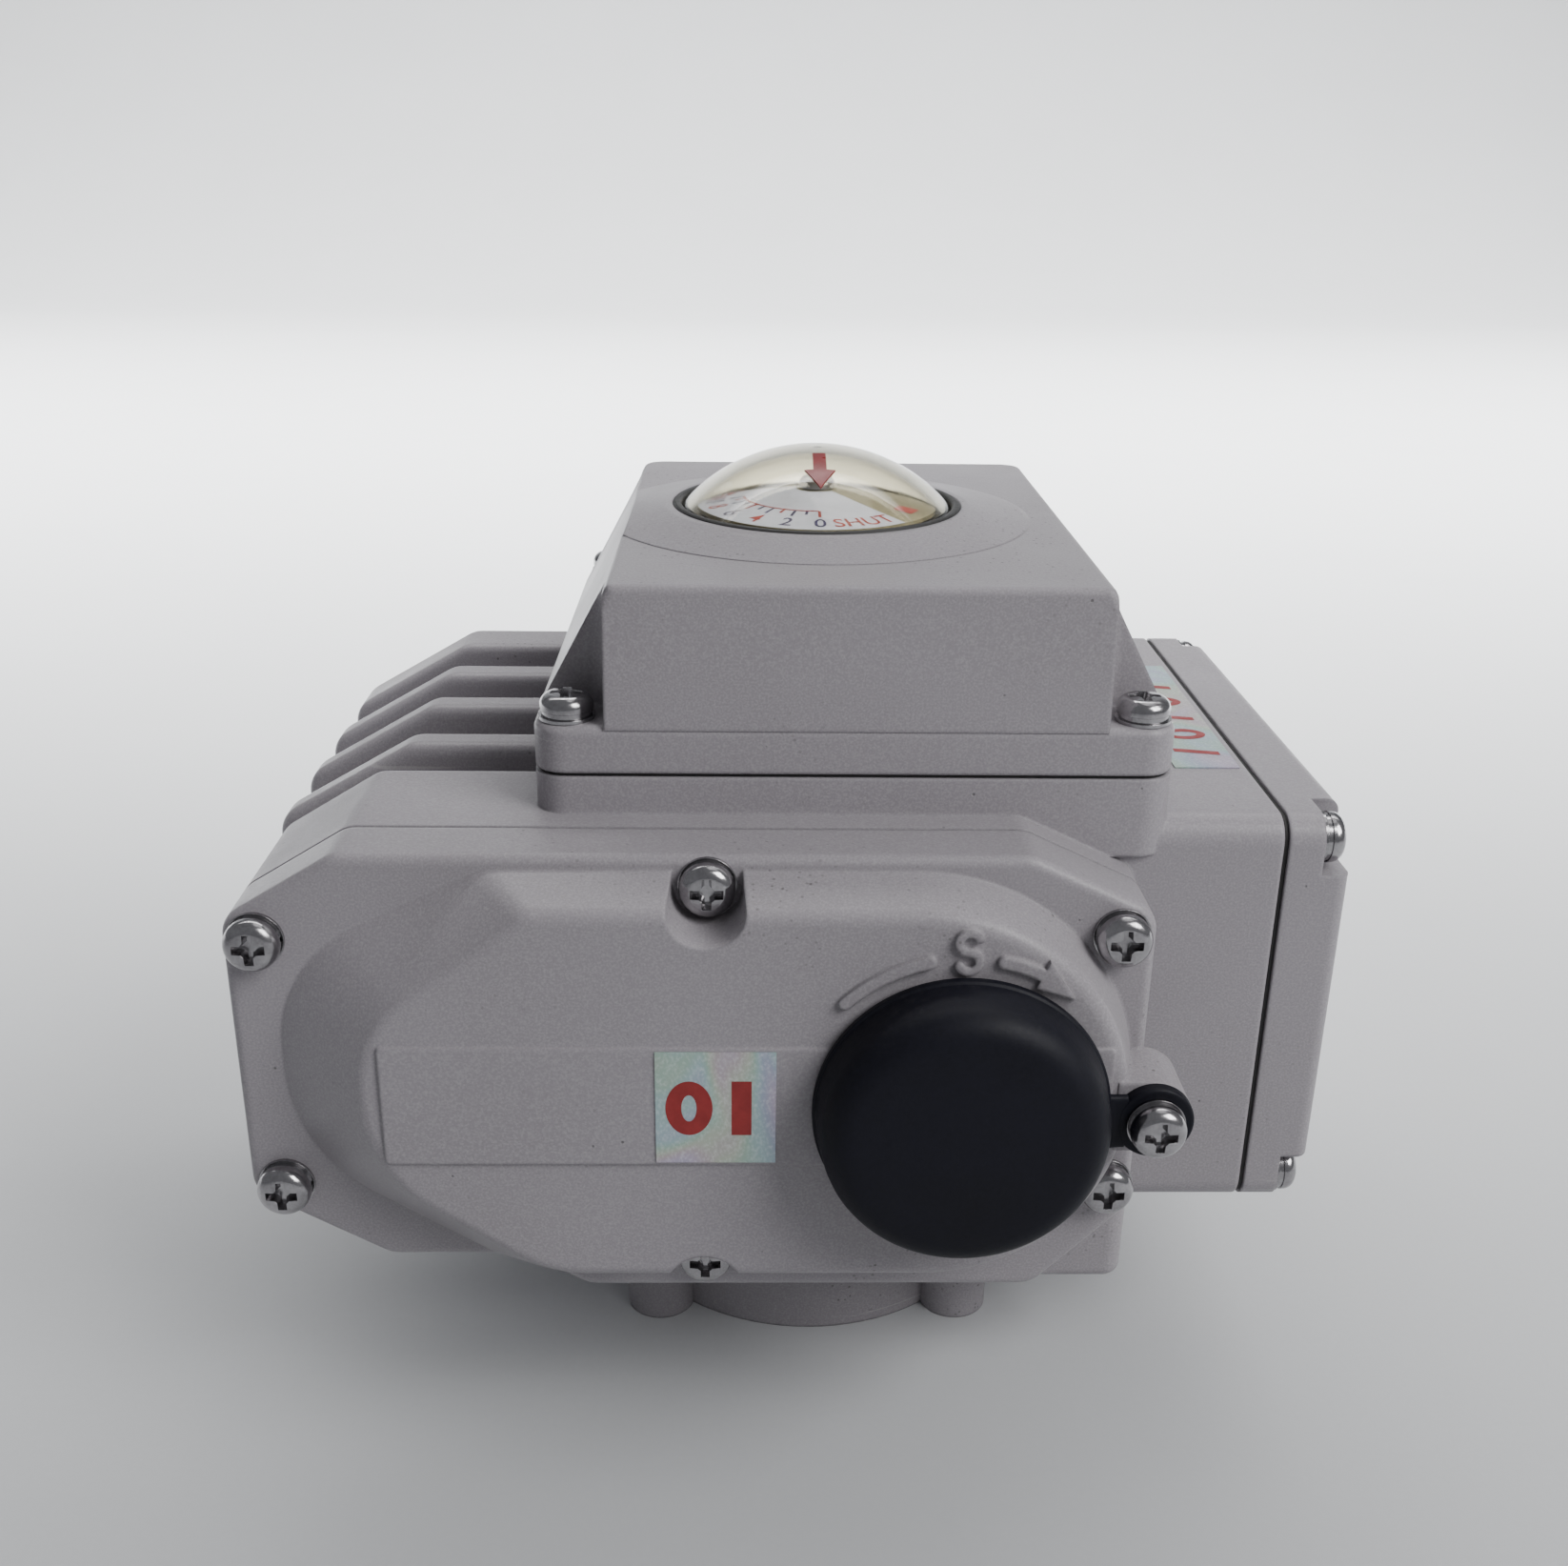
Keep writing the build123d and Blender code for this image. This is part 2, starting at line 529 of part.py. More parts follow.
with BuildPart() as top_room:
    add(top_wedge(TOP_WALL, TOP_FLANGE_Z[0] - 1, TOP_FACE_Z - TOP_WALL + 1.2))
    add(top_corners(TOP_EAR + 2.6, TOP_FLANGE_Z[0] - 2, TOP_FACE_Z + 2), mode=Mode.SUBTRACT)

with BuildPart() as top_foot:
    with BuildSketch(Plane.XY.offset(TOP_FLANGE_Z[0])) as foot_shape:
        with Locations((sum(TOP_X) / 2, sum(TOP_Y) / 2)):
            Rectangle(TOP_X[1] - TOP_X[0], TOP_Y[1] - TOP_Y[0])
        fillet(foot_shape.vertices(), 4.5)
    extrude(amount=TOP_FLANGE_Z[1] - TOP_FLANGE_Z[0])
    fillet(top_foot.faces().sort_by(Axis.Z)[-1].edges(), 1.2)

with BuildPart() as collar:
    with BuildSketch(Plane.XZ) as collar_shape:
        with BuildLine():
            Polyline((0, TOP_FACE_Z - 1), (COLLAR_FOOT_R, TOP_FACE_Z - 1), (COLLAR_FOOT_R, TOP_FACE_Z + 0.1),
                     (COLLAR_TOP_R, COLLAR_Z), (0, COLLAR_Z), close=True)
        make_face()
    revolve(axis=Axis.Z)
    # The collar ends at the leaning side of the cover
    add(top_wedge(0.0, TOP_FACE_Z - 2, COLLAR_Z + 1), mode=Mode.INTERSECT)

with BuildPart() as top_cover:
    add(top_wedge(0.0, TOP_FLANGE_Z[1] - 0.5, TOP_FACE_Z))
    leaning = top_cover.edges().filter_by(lambda e: abs(e.tangent_at(0.5).Z) > 0.5).sort_by(Axis.Y)
    fillet(leaning[:2], 1.2)
    leaning = top_cover.edges().filter_by(lambda e: abs(e.tangent_at(0.5).Z) > 0.5).sort_by(Axis.Y)
    fillet(leaning[-2:], 3.5)
    fillet(top_cover.edges().group_by(Axis.Z)[-1], 1.0)
    add(top_corners(TOP_EAR, TOP_FLANGE_Z[1] - 2, TOP_FACE_Z + 3), mode=Mode.SUBTRACT)
    add(top_foot.part)
    add(collar.part)
    add(top_room.part, mode=Mode.SUBTRACT)
    # Bosses for the dome clamp ring, the window and its seal groove
    with PolarLocations(26.0, 4, 45):
        with Locations((0, 0, 126.1)):
            Cylinder(2.6, 3, align=(Align.CENTER, Align.CENTER, Align.MIN))
    rod("z", (0, 0, 120), DOME_R + 0.35, 20, Mode.SUBTRACT)
    rod("z", (0, 0, 129.6), DOME_R + 1.5, 5, Mode.SUBTRACT)
    with PolarLocations(26.0, 4, 45):
        with Locations((0, 0, 126.0)):
            Cylinder(1.3, 3.6, align=(Align.CENTER, Align.CENTER, Align.MIN), mode=Mode.SUBTRACT)
    for x, y in TOP_SCREWS:
        rod("z", (x, y, TOP_FLANGE_Z[0] - 1), 2.2, 10, Mode.SUBTRACT)
save(top_cover.part, "top_cover")

with BuildPart() as top_gasket:
    with BuildSketch(Plane.XY.offset(PAD_TOP_Z + 0.05)) as ring_shape:
        with Locations((sum(TOP_X) / 2, sum(TOP_Y) / 2)):
            Rectangle(TOP_X[1] - TOP_X[0] - 1.0, TOP_Y[1] - TOP_Y[0] - 1.0)
        fillet(ring_shape.vertices(), 4.0)
    extrude(amount=TOP_FLANGE_Z[0] - PAD_TOP_Z - 0.1)
    add(top_wedge(TOP_WALL, PAD_TOP_Z - 1, TOP_FLANGE_Z[0] + 1), mode=Mode.SUBTRACT)
    for x, y in TOP_SCREWS:
        rod("z", (x, y, PAD_TOP_Z), 3.6, 0.55)
        rod("z", (x, y, PAD_TOP_Z - 1), 2.25, 4, Mode.SUBTRACT)
top_gasket_body = top_gasket.part

DOME_BALL_R = (DOME_R ** 2 + DOME_RISE ** 2) / (2 * DOME_RISE)
DOME_BALL_Z = DOME_FOOT_Z + DOME_RISE - DOME_BALL_R
FLANGE_R = 24.0


def dome_profile(radius, ball_r, low_z, centre_z):
    """Half section of a domed plug, for turning about Z."""
    foot_z = centre_z + math.sqrt(ball_r ** 2 - radius ** 2)
    middle = (radius / 2, centre_z + math.sqrt(ball_r ** 2 - (radius / 2) ** 2))
    with BuildSketch(Plane.XZ) as half:
        with BuildLine():
            Polyline((0, centre_z + ball_r), (0, low_z), (radius, low_z), (radius, foot_z))
            ThreePointArc((radius, foot_z), middle, (0, centre_z + ball_r))
        make_face()
    return half.sketch


with BuildPart() as dome:
    revolve(dome_profile(DOME_R, DOME_BALL_R, 126.05, DOME_BALL_Z), axis=Axis.Z)
    rod("z", (0, 0, 126.05), FLANGE_R, 2.0)
    revolve(dome_profile(DOME_R - DOME_WALL, DOME_BALL_R - DOME_WALL, 125.0, DOME_BALL_Z), axis=Axis.Z,
            mode=Mode.SUBTRACT)
    with PolarLocations(26.0, 4, 45):
        with Locations((0, 0, 125)):
            Cylinder(2.8, 5, align=(Align.CENTER, Align.CENTER, Align.MIN), mode=Mode.SUBTRACT)
save(dome.part, "dome")

with BuildPart() as dome_seal:
    with BuildSketch(Plane.XZ) as ring_shape:
        with Locations((DOME_R + 0.75, 130.9)):
            Rectangle(1.4, 2.4)
        fillet(ring_shape.vertices(), 0.5)
    revolve(axis=Axis.Z)
save(dome_seal.part, "dome_seal")

with BuildPart() as dome_clamp_ring:
    rod("z", (0, 0, 124.0), 27.4, 2.0)
    rod("z", (0, 0, 123.0), 19.6, 4.0, Mode.SUBTRACT)
    with PolarLocations(26.0, 4, 45):
        with Locations((0, 0, 123)):
            Cylinder(1.6, 4, align=(Align.CENTER, Align.CENTER, Align.MIN), mode=Mode.SUBTRACT)
save(dome_clamp_ring.part, "dome_clamp_ring")

clamp_screws = [
    pan_head("-z", (26 * math.cos(math.radians(a)), 26 * math.sin(math.radians(a)), 123.95), 5.2, 2.6, 1.8, 1.25)
    for a in (45, 135, 225, 315)
]
save(group(clamp_screws), "dome_clamp_screws")

with BuildPart() as index_arrow:
    with BuildSketch(Plane.XY.offset(DOME_FOOT_Z)) as arrow_shape:
        Polygon((-1.0, -5.2), (1.0, -5.2), (1.0, -10.4), (2.3, -10.4), (0, -14.4), (-2.3, -10.4), (-1.0, -10.4),
                align=None)
    extrude(amount=DOME_RISE + 2)
    with Locations((0, 0, DOME_BALL_Z)):
        Sphere(DOME_BALL_R + 0.25, mode=Mode.INTERSECT)
        Sphere(DOME_BALL_R + 0.02, mode=Mode.SUBTRACT)
save(index_arrow.part, "index_arrow")

with BuildPart() as indicator_dial:
    with BuildSketch(Plane.XZ) as dial_half:
        with BuildLine():
            Polyline((2.1, 133.4), (18.2, 130.6), (18.2, 131.2), (2.1, 134.0), close=True)
        make_face()
    revolve(axis=Axis.Z)
save(indicator_dial.part, "indicator_dial")

with BuildPart() as dial_hub:
    rod("z", (0, 0, 119.0), 7.0, 9.0)
    with BuildSketch(Plane.XZ) as flare:
        with BuildLine():
            Polyline((0, 127.0), (7.0, 127.0), (16.0, 130.4), (16.0, 130.9), (2.0, 133.3), (0, 133.3), close=True)
        make_face()
    revolve(axis=Axis.Z)
    rod("z", (0, 0, 118.0), SHAFT_STEP[3] + 0.02, 7.0, Mode.SUBTRACT)
    rod("z", (0, 0, 124.0), 1.55, 12.0, Mode.SUBTRACT)
save(dial_hub.part, "dial_hub")
save(pan_head("z", (0, 0, 134.1), 9.0, 2.8, 1.9, 1.5), "dial_screw")

# ---------------------------------------------------------------- wiring lid
with BuildPart() as lid_room:
    block((LID_X[0] - 1, LID_X[2] - 3.0), (WIRING_ROOM[1][0], WIRING_ROOM[1][1]), WIRING_ROOM[2])
    for y in (WIRING_Y[0] - 1, WIRING_Y[1] + 1 - LID_EAR - 3.6):
        for z in (WIRING_Z[0] - 1, WIRING_Z[1] + 1 - LID_EAR - 3.6):
            block((LID_X[0] - 2, LID_X[2]), (y, y + LID_EAR + 3.6), (z, z + LID_EAR + 3.6), Mode.SUBTRACT)

with BuildPart() as terminal_cover:
    block((LID_X[0], LID_X[2]), WIRING_Y, WIRING_Z)
    fillet(terminal_cover.edges().filter_by(Axis.X), 4.0)
    fillet(terminal_cover.faces().sort_by(Axis.X)[-1].edges(), 2.0)
    with BuildPart(mode=Mode.PRIVATE) as ear_cut:
        for y in (WIRING_Y[0] - 2, WIRING_Y[1] + 2 - LID_EAR - 1.5):
            for z in (WIRING_Z[0] - 2, WIRING_Z[1] + 2 - LID_EAR - 1.5):
                block((LID_X[1], LID_X[2] + 2), (y, y + LID_EAR + 1.5), (z, z + LID_EAR + 1.5))
        fillet(ear_cut.edges().filter_by(Axis.X), 3.0)
    add(ear_cut.part, mode=Mode.SUBTRACT)
    add(lid_room.part, mode=Mode.SUBTRACT)
    for y, z in LID_SCREWS:
        rod("x", (LID_X[0] - 1, y, z), 2.2, 12, Mode.SUBTRACT)
save(terminal_cover.part, "terminal_cover")

with BuildPart() as terminal_gasket:
    block((WIRING_X[1] + 0.05, LID_X[0] - 0.05), (WIRING_Y[0] + 0.4, WIRING_Y[1] - 0.4),
          (WIRING_Z[0] + 0.4, WIRING_Z[1] - 0.4))
    fillet(terminal_gasket.edges().filter_by(Axis.X), 3.6)
    block((60, 70), WIRING_ROOM[1], WIRING_ROOM[2], Mode.SUBTRACT)
terminal_gasket_ring = terminal_gasket.part
with BuildPart() as terminal_gasket:
    add(terminal_gasket_ring)
    for y, z in LID_SCREWS:
        rod("x", (WIRING_X[1] + 0.05, y, z), 3.3, LID_X[0] - WIRING_X[1] - 0.1)
        rod("x", (WIRING_X[1] - 1, y, z), 2.25, 4, Mode.SUBTRACT)
save(terminal_gasket.part, "terminal_gasket")
save(top_gasket_body, "top_gasket")

# ---------------------------------------------------------------- rubber cap and strap
EYELET_T = 1.6
cap_plane = Plane(origin=(WORM_X, CAP_SEAT_Y, DRIVE_Z), x_dir=(1, 0, 0), z_dir=(0, -1, 0))
CAP_DEPTH = CAP_SEAT_Y - CAP_FRONT_Y
with BuildPart() as manual_cap:
    with BuildSketch(cap_plane):
        Circle(CAP_R)
    extrude(amount=CAP_DEPTH, taper=8)
    fillet(manual_cap.faces().sort_by(Axis.Y)[0].edges(), 3.2)
    with BuildSketch(cap_plane):
        Circle(CAP_R - 2.2)
    extrude(amount=CAP_DEPTH - 2.0, taper=8, mode=Mode.SUBTRACT)
    # Short tongue towards the eyelet
    block((WORM_X + CAP_R - 1.8, STRAP_EDGE_X - 0.4), (CAP_SEAT_Y, CAP_SEAT_Y - 1.2),
          (EAR_XZ[1] - 4.0, EAR_XZ[1] + 4.0))
save(manual_cap.part, "manual_cap")

eyelet_y = EAR_FACE_Y - 0.05
with BuildPart() as cap_strap:
    rod("-y", (EAR_XZ[0], eyelet_y, EAR_XZ[1]), 5.2, EYELET_T)
    fillet(cap_strap.faces().sort_by(Axis.Y)[0].edges(), 0.5)
    rod("-y", (EAR_XZ[0], eyelet_y + 2, EAR_XZ[1]), 2.25, 8, Mode.SUBTRACT)
    block((STRAP_EDGE_X - 6, STRAP_EDGE_X), (eyelet_y + 2, eyelet_y - 6), (EAR_XZ[1] - 9, EAR_XZ[1] + 9),
          Mode.SUBTRACT)
save(cap_strap.part, "cap_strap")

# ---------------------------------------------------------------- cover fasteners
FLAT_T = 0.5
SPRING_T = 0.8
COVER_SCREW_LENGTH = 14.0
STRAP_SCREW_LENGTH = 9.5
# Each fastening: axis out of the head, the point where its washers start, the screw's length
fastenings = [("-y", (x, COVER_FACE_Y, z), COVER_SCREW_LENGTH) for x, z in COVER_SCREWS]
fastenings += [("-y", (EAR_XZ[0], eyelet_y - EYELET_T, EAR_XZ[1]), STRAP_SCREW_LENGTH)]
fastenings += [("z", (x, y, TOP_FLANGE_Z[1]), COVER_SCREW_LENGTH) for x, y in TOP_SCREWS]
fastenings += [("x", (LID_X[1], y, z), COVER_SCREW_LENGTH) for y, z in LID_SCREWS]
OUT = {"-y": (0, -1, 0), "z": (0, 0, 1), "x": (1, 0, 0)}
flats, springs, screws = [], [], []
for axis, foot, length in fastenings:
    on_flat = tuple(f + o * FLAT_T for f, o in zip(foot, OUT[axis]))
    on_spring = tuple(f + o * (FLAT_T + SPRING_T) for f, o in zip(foot, OUT[axis]))
    flats.append(washer(axis, foot, 3.9, FLAT_T))
    springs.append(washer(axis, on_flat, 3.5, SPRING_T, split=True))
    screws.append(pan_head(axis, on_spring, length))
save(group(screws), "cover_screws")
save(group(flats), "flat_washers")
save(group(springs), "spring_washers")

# ---------------------------------------------------------------- labels
band_face_y = BULGE_Y - BAND_PROUD
with BuildPart() as size_label:
    block((-22.3, -6.5), (band_face_y - 0.02, band_face_y - 0.2), (57.6, 74.4))
with BuildPart() as data_label:
    block((53.8, 63.6), (-24.2, 26.4), (WIRING_Z[1] + 0.02, WIRING_Z[1] + 0.2))
save(group([size_label.part, data_label.part]), "labels")

# ---------------------------------------------------------------- gear plate, pins and spur gears
with BuildPart() as gear_plate:
    with BuildSketch(front_plane(PLATE_Y[1] - 0.03)) as plate_shape:
        Polygon(*PLATE_OUTLINE, align=None)
        fillet(plate_shape.vertices(), 3.0)
    extrude(amount=PLATE_Y[1] - 0.03 - PLATE_Y[0])
    rod("y", (MOTOR_XZ[0], PLATE_Y[0] - 1, MOTOR_XZ[1]), 4.2, 5, Mode.SUBTRACT)
    rod("y", (WORM_X, PLATE_Y[0] - 1, DRIVE_Z), 5.6, 5, Mode.SUBTRACT)
    for x, z in (FIRST_XZ, SECOND_XZ):
        rod("y", (x, PLATE_Y[0] - 1, z), 1.5, 5, Mode.SUBTRACT)
    for x, z in PLATE_SCREWS:
        rod("y", (x, PLATE_Y[0] - 1, z), 1.65, 5, Mode.SUBTRACT)
save(gear_plate.part, "gear_plate")
plate_screws = [pan_head("-y", (x, PLATE_Y[0], z), 8.0, 2.7, 1.9, 1.5) for x, z in PLATE_SCREWS]

PIN_R = 1.49
PIN_TIPS = (LAYERS[1][1] - 1.5, LAYERS[2][1] - 1.5)
pins = []
for (x, z), tip_y in zip((FIRST_XZ, SECOND_XZ), PIN_TIPS):
    with BuildPart() as pin:
        rod("-y", (x, PLATE_Y[1] - 0.03, z), PIN_R, PLATE_Y[1] - tip_y)
        rod("-y", (x, tip_y + 0.9, z), PIN_R + 0.1, 0.6, Mode.SUBTRACT)
        rod("-y", (x, tip_y + 0.9, z), PIN_R - 0.4, 0.6)
        chamfer(pin.faces().sort_by(Axis.Y)[0].edges(), 0.3)
    pins.append(pin.part)

clips = []
for (x, z), tip_y in zip((FIRST_XZ, SECOND_XZ), PIN_TIPS):
    with BuildPart() as clip:
        rod("-y", (x, tip_y + 0.85, z), 3.2, 0.5)
        rod("-y", (x, tip_y + 0.85, z), PIN_R - 0.35, 0.5, Mode.SUBTRACT)
        block((x, x + 5), (tip_y + 0.85, tip_y + 0.35), (z - 0.9, z + 0.9), Mode.SUBTRACT)
    clips.append(clip.part)
save(group(clips), "pin_clips")


def spur(sketch_y, face_y, centre, teeth, phase, thinning=0.12):
    """Toothed ring between two depths, centred on a point (X, Z)."""
    with BuildSketch() as teeth_shape:
        Polygon(*gear_profile(teeth, MODULE, phase, thinning), align=None)
    return extrude(front_plane(sketch_y) * Pos(*centre, 0) * teeth_shape.face(), amount=sketch_y - face_y)


# Tooth phases, worked from the worm shaft back to the motor
WORM_GEAR_PHASE = 0.0
SECOND_PINION_PHASE = meshed_phase(MESH_ANGLES[0], WHEEL_TEETH, WORM_GEAR_PHASE, PINION_TEETH)
SECOND_WHEEL_PHASE = SECOND_PINION_PHASE
FIRST_PINION_PHASE = meshed_phase(MESH_ANGLES[1], WHEEL_TEETH, SECOND_WHEEL_PHASE, PINION_TEETH)
FIRST_WHEEL_PHASE = FIRST_PINION_PHASE
MOTOR_PINION_PHASE = meshed_phase(MESH_ANGLES[2], WHEEL_TEETH, FIRST_WHEEL_PHASE, PINION_TEETH)


def lightened(ring, centre, face_y, depth, holes):
    """Cut a row of round holes through a wheel's web."""
    with BuildPart() as wheel:
        add(ring)
        for i in range(holes):
            x, z = step_from(centre, 360 / holes * i, 13.0)
            rod("-y", (x, face_y + 1, z), 3.0, depth + 2, Mode.SUBTRACT)
    return wheel.part


def cluster(name, centre, layer, wheel_phase, pinion_phase):
    """Wheel and pinion in one piece, running on a pin."""
    front = LAYERS[layer]
    wheel = lightened(spur(front[0], front[1], centre, WHEEL_TEETH, wheel_phase), centre, front[0], 4, 6)
    with BuildPart() as gear:
        add(wheel)
        add(spur(front[1] + 0.2, LAYERS[layer + 1][1], centre, PINION_TEETH, pinion_phase))
        rod("-y", (centre[0], front[0] + 0.7, centre[1]), 4.0, 1.0)
        rod("-y", (centre[0], PLATE_Y[0] + 1, centre[1]), PIN_R + 0.05, 20, Mode.SUBTRACT)
    save(gear.part, name)


cluster("first_gear", FIRST_XZ, 0, FIRST_WHEEL_PHASE, FIRST_PINION_PHASE)
cluster("second_gear", SECOND_XZ, 1, SECOND_WHEEL_PHASE, SECOND_PINION_PHASE)

HUB_FRONT_Y = -62.6
worm_wheel_ring = lightened(
    spur(LAYERS[2][0], LAYERS[2][1], WORM_XZ, WHEEL_TEETH, WORM_GEAR_PHASE), WORM_XZ, LAYERS[2][0], 4, 6)
with BuildPart() as worm_gear:
    add(worm_wheel_ring)
    rod("-y", (WORM_X, LAYERS[2][1] + 0.5, DRIVE_Z), 7.0, LAYERS[2][1] + 0.5 - HUB_FRONT_Y)
    rod("-y", (WORM_X, LAYERS[2][0] + 1, DRIVE_Z), 4.02, 20, Mode.SUBTRACT)
    rod("z", (WORM_X, -60.5, DRIVE_Z - 9), 1.0, 18, Mode.SUBTRACT)
save(worm_gear.part, "worm_gear")

motor_pinion = spur(-45.3, -49.2, MOTOR_XZ, PINION_TEETH, MOTOR_PINION_PHASE)

# ---------------------------------------------------------------- worm shaft
WORM_PITCH = math.pi * WORM_MODULE
WORM_PITCH_R = WORM_X - WORM_MODULE * WORM_WHEEL_TEETH / 2
WORM_TIP_R = WORM_PITCH_R + WORM_MODULE
WORM_ROOT_R = WORM_PITCH_R - 1.25 * WORM_MODULE
worm_length = WORM_PITCH * WORM_TURNS
# Local X points at the worm wheel, local Z runs back along +Y
worm_frame = Plane(origin=(WORM_X, 0, DRIVE_Z), x_dir=(-1, 0, 0), z_dir=(0, 1, 0))
with BuildPart() as worm_thread:
    with BuildLine() as thread_path:
        Helix(WORM_PITCH, worm_length, WORM_ROOT_R, center=(0, 0, -worm_length / 2))
    start = thread_path.edge() @ 0
    tangent = thread_path.edge() % 0
    with BuildSketch(Plane(origin=start, x_dir=(1, 0, 0), z_dir=tangent)):
        Polygon((-0.5, -0.80), (-0.5, 0.80), (WORM_TIP_R - WORM_ROOT_R, 0.16), (WORM_TIP_R - WORM_ROOT_R, -0.16),
                align=None)
    sweep(path=thread_path.edge(), is_frenet=True)
HEX_DEPTH = 9.0
SHAFT_FRONT_Y = -74.0
with BuildPart() as worm_shaft:
    add(worm_frame.location * worm_thread.part)
    rod("y", (WORM_X, -17.0, DRIVE_Z), WORM_ROOT_R, 34.0)
    rod("y", (WORM_X, -37.2, DRIVE_Z), 4.2, 20.2)
    rod("y", (WORM_X, 17.0, DRIVE_Z), 4.2, 4.8)
    rod("y", (WORM_X, 17.0, DRIVE_Z), 2.97, WORM_BEARINGS_Y[1] + BEARING_W + 0.6 - 17.0)
    rod("y", (WORM_X, -54.4, DRIVE_Z), 2.97, 18.0)
    rod("y", (WORM_X, SHAFT_FRONT_Y, DRIVE_Z), 4.0, -54.4 - SHAFT_FRONT_Y)
    chamfer(worm_shaft.faces().sort_by(Axis.Y)[0].edges(), 0.4)
    with BuildSketch(front_plane(SHAFT_FRONT_Y)):
        with Locations(WORM_XZ):
            RegularPolygon(HEX_FLAT / math.sqrt(3), 6)
    extrude(amount=-HEX_DEPTH, mode=Mode.SUBTRACT)
    rod("z", (WORM_X, -60.5, DRIVE_Z - 9), 1.0, 18, Mode.SUBTRACT)
save(worm_shaft.part, "worm_shaft")

with BuildPart() as worm_gear_pin:
    rod("z", (WORM_X, -60.5, DRIVE_Z - 6.6), 0.99, 13.2)
save(worm_gear_pin.part, "worm_gear_pin")

bearings = []
for y in WORM_BEARINGS_Y:
    bearings += ball_bearing(WORM_X, y, DRIVE_Z, 3.0, BEARING_R, BEARING_W)

with BuildPart() as worm_seal:
    rod("-y", (WORM_X, SEAL_Y[1] - 0.02, DRIVE_Z), SEAL_R, SEAL_Y[1] - SEAL_Y[0] - 0.02)
    rod("-y", (WORM_X, SEAL_Y[1] + 1, DRIVE_Z), 4.04, 10, Mode.SUBTRACT)
    rod("-y", (WORM_X, SEAL_Y[0] + 1.6, DRIVE_Z), 6.4, 4, Mode.SUBTRACT)
    rod("-y", (WORM_X, SEAL_Y[0] + 2.4, DRIVE_Z), 4.8, 2.4)
    rod("-y", (WORM_X, SEAL_Y[1] + 1, DRIVE_Z), 4.04, 10, Mode.SUBTRACT)
save(worm_seal.part, "worm_seal")

# ---------------------------------------------------------------- motor
STACK_Y = (-20.0, 16.0)
ROTOR_R = 10.7
SLOTS = 12
motor_frame = Plane(origin=(MOTOR_XZ[0], 0, MOTOR_XZ[1]), x_dir=(1, 0, 0), z_dir=(0, 1, 0))


def motor_spots(radius, count, start=0.0):
    """Points round the motor axis, as (X, Z)."""
    return [step_from(MOTOR_XZ, start + 360 / count * i, radius) for i in range(count)]


TIE_SPOTS = motor_spots(17.7, 4, 45)
with BuildPart() as motor_stator:
    rod("y", (MOTOR_XZ[0], STACK_Y[0], MOTOR_XZ[1]), MOTOR_R, STACK_Y[1] - STACK_Y[0])
    rod("y", (MOTOR_XZ[0], STACK_Y[0], MOTOR_XZ[1]), ROTOR_R + 0.35, STACK_Y[1] - STACK_Y[0], Mode.SUBTRACT)
    with BuildSketch(Plane(origin=(MOTOR_XZ[0], STACK_Y[0], MOTOR_XZ[1]), x_dir=(1, 0, 0), z_dir=(0, 1, 0))):
        with PolarLocations(14.4, SLOTS):
            Rectangle(4.0, 3.6)
        with PolarLocations(11.8, SLOTS):
            Rectangle(2.6, 1.4)
    extrude(amount=STACK_Y[1] - STACK_Y[0], mode=Mode.SUBTRACT)
    for x, z in TIE_SPOTS:
        rod("y", (x, STACK_Y[0] - 1, z), 1.6, 50, Mode.SUBTRACT)
save(motor_stator.part, "motor_stator")

with BuildPart() as motor_coils:
    for y in (STACK_Y[0] - 5.2, STACK_Y[1] + 0.2):
        rod("y", (MOTOR_XZ[0], y, MOTOR_XZ[1]), 15.8, 5.0)
        rod("y", (MOTOR_XZ[0], y, MOTOR_XZ[1]), 12.3, 5.0, Mode.SUBTRACT)
    fillet(motor_coils.edges(), 1.2)
    with BuildSketch(Plane(origin=(MOTOR_XZ[0], STACK_Y[0] - 2, MOTOR_XZ[1]), x_dir=(1, 0, 0), z_dir=(0, 1, 0))):
        with PolarLocations(14.1, SLOTS):
            Rectangle(3.2, 3.4)
    extrude(amount=STACK_Y[1] - STACK_Y[0] + 4)
save(motor_coils.part, "motor_coils")

with BuildPart() as motor_rotor:
    rod("y", (MOTOR_XZ[0], STACK_Y[0] + 1, MOTOR_XZ[1]), ROTOR_R, STACK_Y[1] - STACK_Y[0] - 2)
    for y in (STACK_Y[0] - 2, STACK_Y[1] - 1):
        rod("y", (MOTOR_XZ[0], y, MOTOR_XZ[1]), ROTOR_R - 0.8, 3)
        with Locations(*[Location((x, y - 1.0 if y < 0 else y + 3.0, z), TURN["y"])
                         for x, z in motor_spots(8.4, 8)]):
            Box(2.2, 1.2, 2.4)
    rod("y", (MOTOR_XZ[0], STACK_Y[0] - 5, MOTOR_XZ[1]), 3.02, 60, Mode.SUBTRACT)
save(motor_rotor.part, "motor_rotor")

BELL_Y = (-39.8, 25.0)
with BuildPart() as motor_shaft:
    rod("y", (MOTOR_XZ[0], -37.0, MOTOR_XZ[1]), 3.0, 61.0)
    rod("y", (MOTOR_XZ[0], -45.4, MOTOR_XZ[1]), 2.48, 75.4)
    add(motor_pinion)
save(motor_shaft.part, "motor_shaft")

